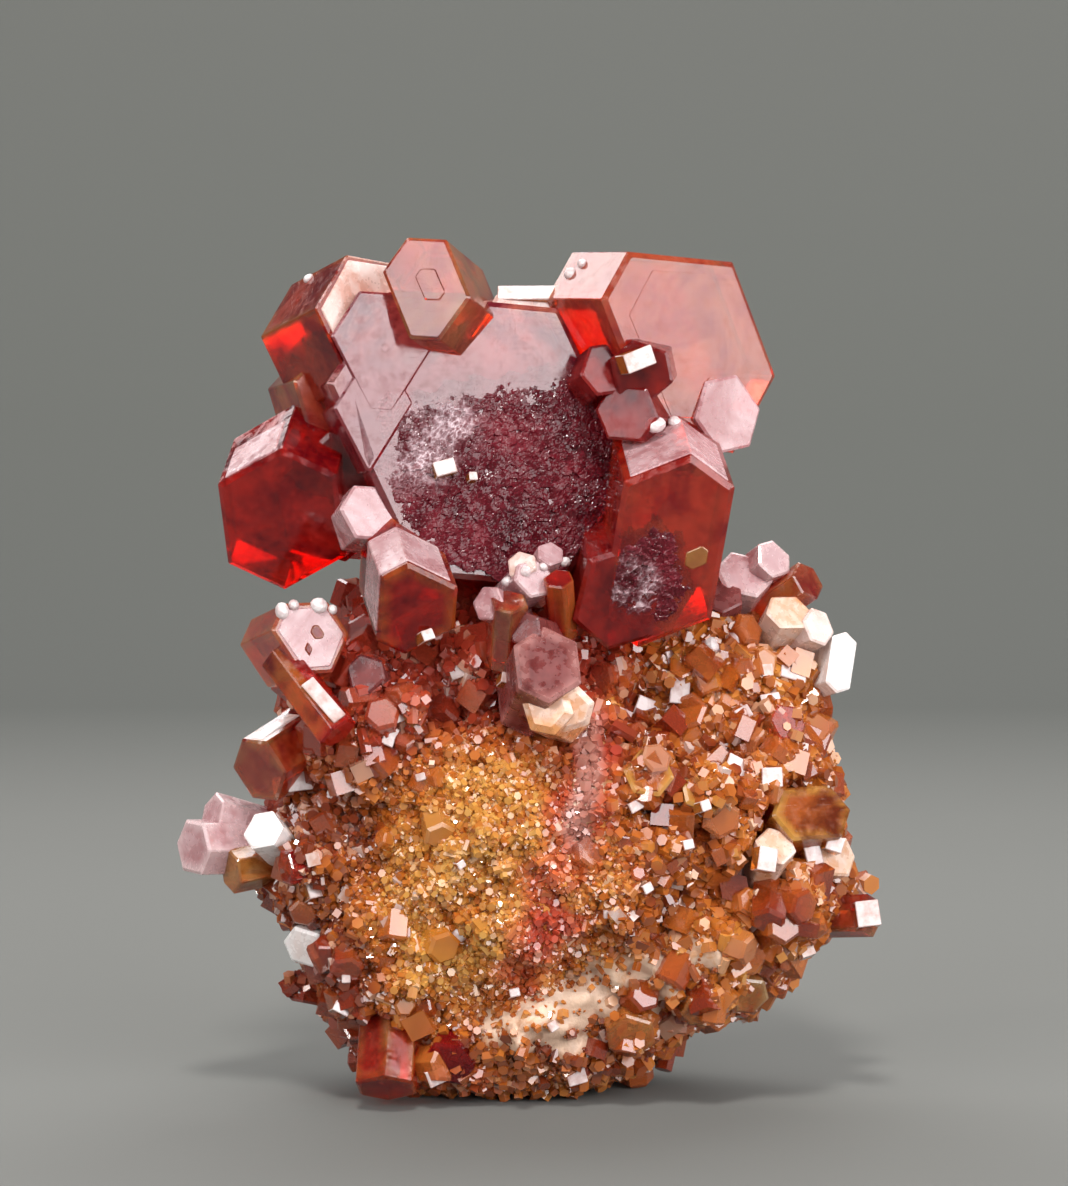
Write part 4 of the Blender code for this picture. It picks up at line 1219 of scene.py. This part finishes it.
BATCHES = (
    Batch("gold_crust", Zone.GOLD, Form.PRISM, 32.0, 0.1, 0.41, 0.6, 2.2, 1.1, 3),
    Batch("gold_blocks", Zone.GOLD, Form.BLOCK, 22.0, 0.1, 0.36, 0.5, 2.0, 1.2, 4),
    Batch("left_crust", Zone.LEFT, Form.PRISM, 14.0, 0.14, 0.64, 0.6, 2.2, 1.0, 5),
    Batch("left_blocks", Zone.LEFT, Form.BLOCK, 13.0, 0.13, 0.58, 0.5, 2.0, 1.2, 6),
    Batch("right_crust", Zone.RIGHT, Form.PRISM, 12.0, 0.15, 0.67, 0.6, 2.0, 1.0, 7),
    Batch("right_blocks", Zone.RIGHT, Form.BLOCK, 12.5, 0.14, 0.66, 0.5, 1.8, 1.2, 8),
    Batch("back_crust", Zone.BACK, Form.PRISM, 3.4, 0.28, 1.1, 0.5, 1.5, 1.0, 9),
    Batch("back_blocks", Zone.BACK, Form.BLOCK, 4.0, 0.24, 0.95, 0.45, 1.4, 1.2, 10),
    Batch("standing_crystals", Zone.RIM, Form.CUT_PRISM, 0.62, 0.45, 1.9, 0.5, 1.3, 0.9, 12, Dress.CLEAR),
    Batch("standing_blocks", Zone.RIM, Form.BLOCK, 0.6, 0.4, 1.7, 0.5, 1.2, 0.8, 13, Dress.CLEAR),
    Batch("pale_blocks", Zone.RIM, Form.BLOCK, 0.7, 0.25, 0.95, 0.4, 1.0, 0.7, 14, Dress.PALE),
)


@dataclass
class Crust:
    """The rock's surface and the thousands of small crystals that cover it."""

    voxel: float = 0.42
    sunk: float = 0.3
    gold: tuple = (-2.2, 10.5, 7.0, 7.5)
    band_top: tuple = (3.0, 16.5)
    band_foot: tuple = (-0.4, 6.5)
    band_width: float = 1.3
    patch: tuple = (3.3, 5.2, 6.6, 2.2)
    tree: ScatterTree = field(default_factory=ScatterTree)

    def surface(self) -> bpy.types.Mesh:
        """The rock's own skin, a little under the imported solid's."""
        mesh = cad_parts["matrix_rock"].data.copy()
        shape = bmesh.new()
        shape.from_mesh(mesh)
        bmesh.ops.remove_doubles(shape, verts=shape.verts, dist=1e-7)
        shape.to_mesh(mesh)
        shape.free()
        mesh.materials.clear()
        item = linked("rock_skin", mesh)
        step = item.modifiers.new("even", "REMESH")
        step.mode = "VOXEL"
        step.voxel_size = self.voxel * MM
        even = evaluated(item)
        bpy.data.objects.remove(item)
        lift = self.relief(self.places(even)) - self.sunk
        normals = [vertex.normal.copy() for vertex in even.vertices]
        for vertex, normal, raised in zip(even.vertices, normals, lift):
            vertex.co += normal * float(raised) * MM
            vertex.co.z = max(vertex.co.z, 0.0)
        return even

    def relief(self, spots: np.ndarray) -> np.ndarray:
        """Clumps and hollows of the crust, in millimetres."""
        relief = 0.3 * ripples(spots, 3.4, 21) + 0.22 * ripples(spots, 1.5, 22)
        return relief * blended(0.2, 2.0, spots[:, 2])

    def places(self, mesh: bpy.types.Mesh) -> np.ndarray:
        """Vertex places in millimetres, in the same frame as the named sizes."""
        spots = np.empty(len(mesh.vertices) * 3, np.float32)
        mesh.vertices.foreach_get("co", spots)
        return spots.reshape(-1, 3) / MM - np.array(CENTRING)

    def warmth(self, spots: np.ndarray) -> np.ndarray:
        """How yellow the crust is: 1 in the middle of the front and less towards the edges, and browner in
        the hollows, which is painted shade.
        """
        x, z, wide, high = self.gold
        away = np.sqrt(((spots[:, 0] - x) / wide) ** 2 + ((spots[:, 2] - z) / high) ** 2)
        front = 0.8 - 0.5 * blended(0.35, 1.2, away)
        left = 0.22 * blended(-5.5, -9.0, spots[:, 0])
        upper = 0.25 * blended(15.0, 21.0, spots[:, 2]) * blended(6.0, 2.0, spots[:, 0])
        right = 0.06 * blended(3.0, 8.0, spots[:, 0])
        # Raised lumps turn yellower and hollows browner: painted shade in the hollows, with a random mottle
        # on top
        hollow_shade_and_mottle = 0.1 * self.relief(spots) / 0.3 + 0.08 * ripples(spots, 5.0, 33)
        return np.clip(front - left - upper + right + hollow_shade_and_mottle, 0.0, 1.0)

    def redness(self, spots: np.ndarray) -> np.ndarray:
        """A redder band that runs down across the front, and the red upper left."""
        top, foot = np.array(self.band_top), np.array(self.band_foot)
        flat = spots[:, (0, 2)]
        line = foot - top
        share = np.clip(((flat - top) @ line) / (line @ line), 0.0, 1.0)
        away = np.linalg.norm(flat - top - share[:, None] * line, axis=1)
        away += 0.4 * ripples(spots, 2.2, 34)
        band = 1.0 - blended(self.band_width * 0.4, self.band_width * 1.6, away)
        band *= 1.0 - blended(-2.0, 2.0, spots[:, 1])
        upper = blended(15.0, 21.0, spots[:, 2]) * (1.0 - blended(2.0, 7.0, spots[:, 0]))
        blotch = 0.35 * blended(0.7, 1.6, ripples(spots, 6.0, 35))
        return np.clip(0.65 * band + 0.7 * upper + blotch, 0.0, 0.9)

    def vein(self, spots: np.ndarray) -> np.ndarray:
        """A pale pink stalk that runs down from the pink crystal."""
        line = 2.8 - 0.14 * (17.6 - spots[:, 2]) + 0.2 * np.sin(spots[:, 2] * 1.7)
        away = np.abs(spots[:, 0] - line)
        tall = blended(11.8, 13.0, spots[:, 2]) * (1.0 - blended(17.6, 18.8, spots[:, 2]))
        return (1.0 - blended(0.4, 0.85, away)) * tall * (1.0 - blended(-2.0, 2.0, spots[:, 1]))

    def bare(self, spots: np.ndarray) -> np.ndarray:
        """The creamy patch of bare rock low at the front."""
        x, z, wide, high = self.patch
        slant = spots[:, 2] - z - 0.34 * (spots[:, 0] - x)
        away = np.sqrt(((spots[:, 0] - x) / wide) ** 2 + (slant / high) ** 2)
        patch = 1.0 - blended(0.75, 1.0, away + 0.16 * ripples(spots, 2.0, 36))
        return patch * (1.0 - blended(-3.0, 0.0, spots[:, 1]))

    def build(self, materials: Materials) -> BVHTree:
        """Makes the rock and its crust.

        Args:
            materials: The specimen's finishes; not used.

        Returns:
            A tree of the rock's surface, for placing single crystals on it.
        """
        skin = self.surface()
        spots = self.places(skin)
        bare = self.bare(spots)
        rock = skin.copy()
        paint(rock, cream=np.maximum(bare, self.vein(spots)), warmth=self.warmth(spots))
        rock.materials.append(RockFinish().material("rock"))
        rock.polygons.foreach_set("use_smooth", [True] * len(rock.polygons))
        dressed("rock", rock, ("matrix_rock",))
        crust = CrustFinish().material("crust")
        forms = {
            Form.PRISM: grain_form("prism_grain", SIDES, 1.0), Form.BLOCK: grain_form("block_grain", 4, 1.0),
            Form.CUT_PRISM: grain_form("cut_prism_grain", SIDES, 0.8),
        }
        x, z, wide, high = self.gold
        away = np.sqrt(((spots[:, 0] - x) / wide) ** 2 + ((spots[:, 2] - z) / high) ** 2)
        front = 1.0 - blended(-0.5, 1.5, spots[:, 1])
        fine = front * (1.0 - blended(0.75, 1.15, away))
        coarse = front * (1.0 - fine)
        left = 1.0 - blended(-1.0, 0.0, spots[:, 0])
        off_floor = blended(0.3, 0.6, spots[:, 2])
        covers = {Zone.GOLD: fine, Zone.LEFT: coarse * left, Zone.RIGHT: coarse * (1.0 - left)}
        covers[Zone.BACK] = 1.0 - front
        sides = 1.0 - blended(-8.0, 2.0, spots[:, 0]) * (1.0 - blended(3.0, 8.0, spots[:, 0])) * front
        covers[Zone.RIM] = np.clip(sides, 0.12, 1.0) * (1.0 - 0.85 * fine)
        open_rock = off_floor * (1.0 - 0.87 * bare)
        clear = CrustFinish((0.95, 0.4, 0.05), (0.8, 0.2, 0.03), (0.42, 0.05, 0.015), clearness=0.6)
        finishes = {Dress.CRUST: crust, Dress.CLEAR: clear.material("clear_crust")}
        pale = PlainFinish((0.78, 0.6, 0.54), (0.6, 0.3, 0.2), 0.14, 0.35)
        finishes[Dress.PALE] = pale.material("pale_block")
        for batch in BATCHES:
            mesh = self.tree.plant(
                batch.name, skin, covers[batch.zone] * open_rock,
                Density=batch.density * 1.0e6, Smallest=batch.smallest * MM, Largest=batch.largest * MM,
                Slimmest=batch.slim, Longest=batch.long, Lean=batch.lean,
                Form=forms[batch.form], Seed=batch.seed, Finish=finishes[batch.dress],
            )
            planted = self.places(mesh)
            paint(
                mesh, warmth=self.warmth(planted), redness=self.redness(planted), vein=self.vein(planted),
            )
            dressed(batch.name, mesh, ("matrix_rock",))
        for form in forms.values():
            bpy.data.objects.remove(form)
        return surface_tree(skin)


@dataclass(frozen=True)
class SoftBox:
    """A soft light that faces the specimen.

    heading is its way round to the right of the front and rise its way up, in degrees, wide and
    high its size in metres, power in watts and tone its colour.
    """

    name: str
    heading: float
    rise: float
    wide: float
    high: float
    power: float
    tone: tuple
    distance: float = 0.32
    aim_height: float = 0.024

    def build(self) -> None:
        """Places the light."""
        light = bpy.data.lights.new(self.name, "AREA")
        light.shape = "RECTANGLE"
        light.size, light.size_y = self.wide, self.high
        light.energy = self.power
        light.color = self.tone
        lamp = linked(self.name, light)
        side, up = math.radians(self.heading), math.radians(self.rise)
        way = Vector((math.sin(side) * math.cos(up), -math.cos(side) * math.cos(up), math.sin(up)))
        lamp.visible_camera = False
        lamp.location = Vector((0.0, 0.0, self.aim_height)) + way * self.distance
        lamp.rotation_euler = way.to_track_quat("Z", "Y").to_euler()


LIGHTS = (
    SoftBox("right_box", 38.0, 16.0, 0.26, 0.26, 1.05, (1.0, 0.975, 0.99)),
    SoftBox("far_right_box", 76.0, 10.0, 0.17, 0.26, 0.5, (1.0, 0.97, 0.96)),
    SoftBox("left_box", -36.0, 26.0, 0.2, 0.18, 0.46, (0.98, 0.98, 1.0)),
    SoftBox("back_left_box", -146.0, 46.0, 0.24, 0.2, 0.7, (1.0, 0.99, 1.0)),
    SoftBox("back_right_box", 150.0, 50.0, 0.24, 0.2, 0.7, (1.0, 1.0, 0.99)),
    SoftBox("spark_box", -4.0, 58.0, 0.05, 0.05, 0.7, (1.0, 0.98, 0.95)),
    SoftBox("side_spark", -68.0, 12.0, 0.04, 0.04, 0.3, (1.0, 0.95, 0.9)),
)


@dataclass
class Studio:
    """Floor, backdrop, soft lights and the camera."""

    frame_high: float = 54.4
    aim: tuple = (0.25, -5.0, 23.8)
    lens: float = 100.0
    sensor: float = 36.0
    elevation: float = 3.0
    curve_start: float = 0.09
    curve: float = 0.08
    wall: float = 0.105
    # Grey up the sweep, darkest low on the curve: painted shade against the back lights
    greys_with_painted_shade: tuple = (
        (0.0, (0.155, 0.157, 0.148)), (0.07, (0.092, 0.095, 0.089)),
        (0.3, (0.104, 0.108, 0.1)), (0.7, (0.138, 0.143, 0.133)),
    )

    def backdrop(self) -> None:
        """A pale floor that curves up into a grey backdrop, darker low on the curve where the back lights
        strike it: painted shade that evens out its light.
        """
        shape = bmesh.new()
        profile = [(-0.5, 0.0), (self.curve_start, 0.0)]
        turn = 12
        for step in range(1, turn + 1):
            angle = math.radians(90.0 * step / turn)
            forward = self.curve_start + self.curve * math.sin(angle)
            profile.append((forward, self.curve * (1.0 - math.cos(angle))))
        profile.append((self.curve_start + self.curve, self.wall))
        rows = [[shape.verts.new((x, y, z)) for x in (-0.8, 0.8)] for y, z in profile]
        for near, far in zip(rows, rows[1:]):
            shape.faces.new((near[0], near[1], far[1], far[0]))
        shader = Shader("studio_grey")
        rise = shader.maths("DIVIDE", shader.height(), self.wall)
        shader.wear(shader.ramp(rise, *self.greys_with_painted_shade))
        shader.fixed(Roughness=0.8, Specular_IOR_Level=0.1)
        mesh = finished("studio_sweep", shape, shader.material)
        mesh.polygons.foreach_set("use_smooth", [True] * len(mesh.polygons))
        linked("studio_sweep", mesh)

    def camera(self) -> None:
        """A long lens from the photograph's side."""
        data = bpy.data.cameras.new("view")
        data.lens = self.lens
        data.sensor_width = self.sensor
        data.clip_start, data.clip_end = 0.01, 10.0
        camera = linked("view", data)
        distance = self.frame_high * MM / 2.0 / (self.sensor / 2.0 / self.lens)
        up = math.radians(self.elevation)
        way = Vector((0.0, -math.cos(up), math.sin(up)))
        camera.location = Vector(self.aim) * MM + way * distance
        camera.rotation_euler = way.to_track_quat("Z", "Y").to_euler()
        bpy.context.scene.camera = camera

    def world(self) -> None:
        """Even grey light from all round."""
        world = bpy.data.worlds.new("studio_air")
        world.use_nodes = True
        back = world.node_tree.nodes["Background"]
        back.inputs["Color"].default_value = (0.75, 0.78, 0.8, 1.0)
        back.inputs["Strength"].default_value = 0.12
        bpy.context.scene.world = world

    def build(self) -> None:
        """Sets up the whole studio."""
        bpy.context.scene.view_settings.view_transform = "Standard"
        self.world()
        self.backdrop()
        for box in LIGHTS:
            box.build()
        self.camera()


def main() -> None:
    """Builds the studio and every piece of the specimen."""
    logging.basicConfig(level=logging.INFO, format="%(name)s: %(message)s")
    Studio().build()
    materials = Materials()
    grounds = [LARGE.build(materials)]
    grounds += [group.build(materials) for group in GROUPS]
    etched = EtchedFinish().material("etched_maroon")
    for face in ETCHED_FACES:
        face.build(etched)
    grounds.append(Crust().build(materials))
    # Near-white fronts of the facets: painted glints
    facets = PlainFinish((0.8, 0.68, 0.66), (0.56, 0.36, 0.32), 0.22, 0.2).material("bright_facet")
    grains = PlainFinish((0.8, 0.74, 0.73), (0.5, 0.36, 0.36), 0.3).material("white_grain")
    BrightSpots().build(grounds, facets, materials.crystals[Look.AMBER], grains)


if __name__ == "__main__":
    main()
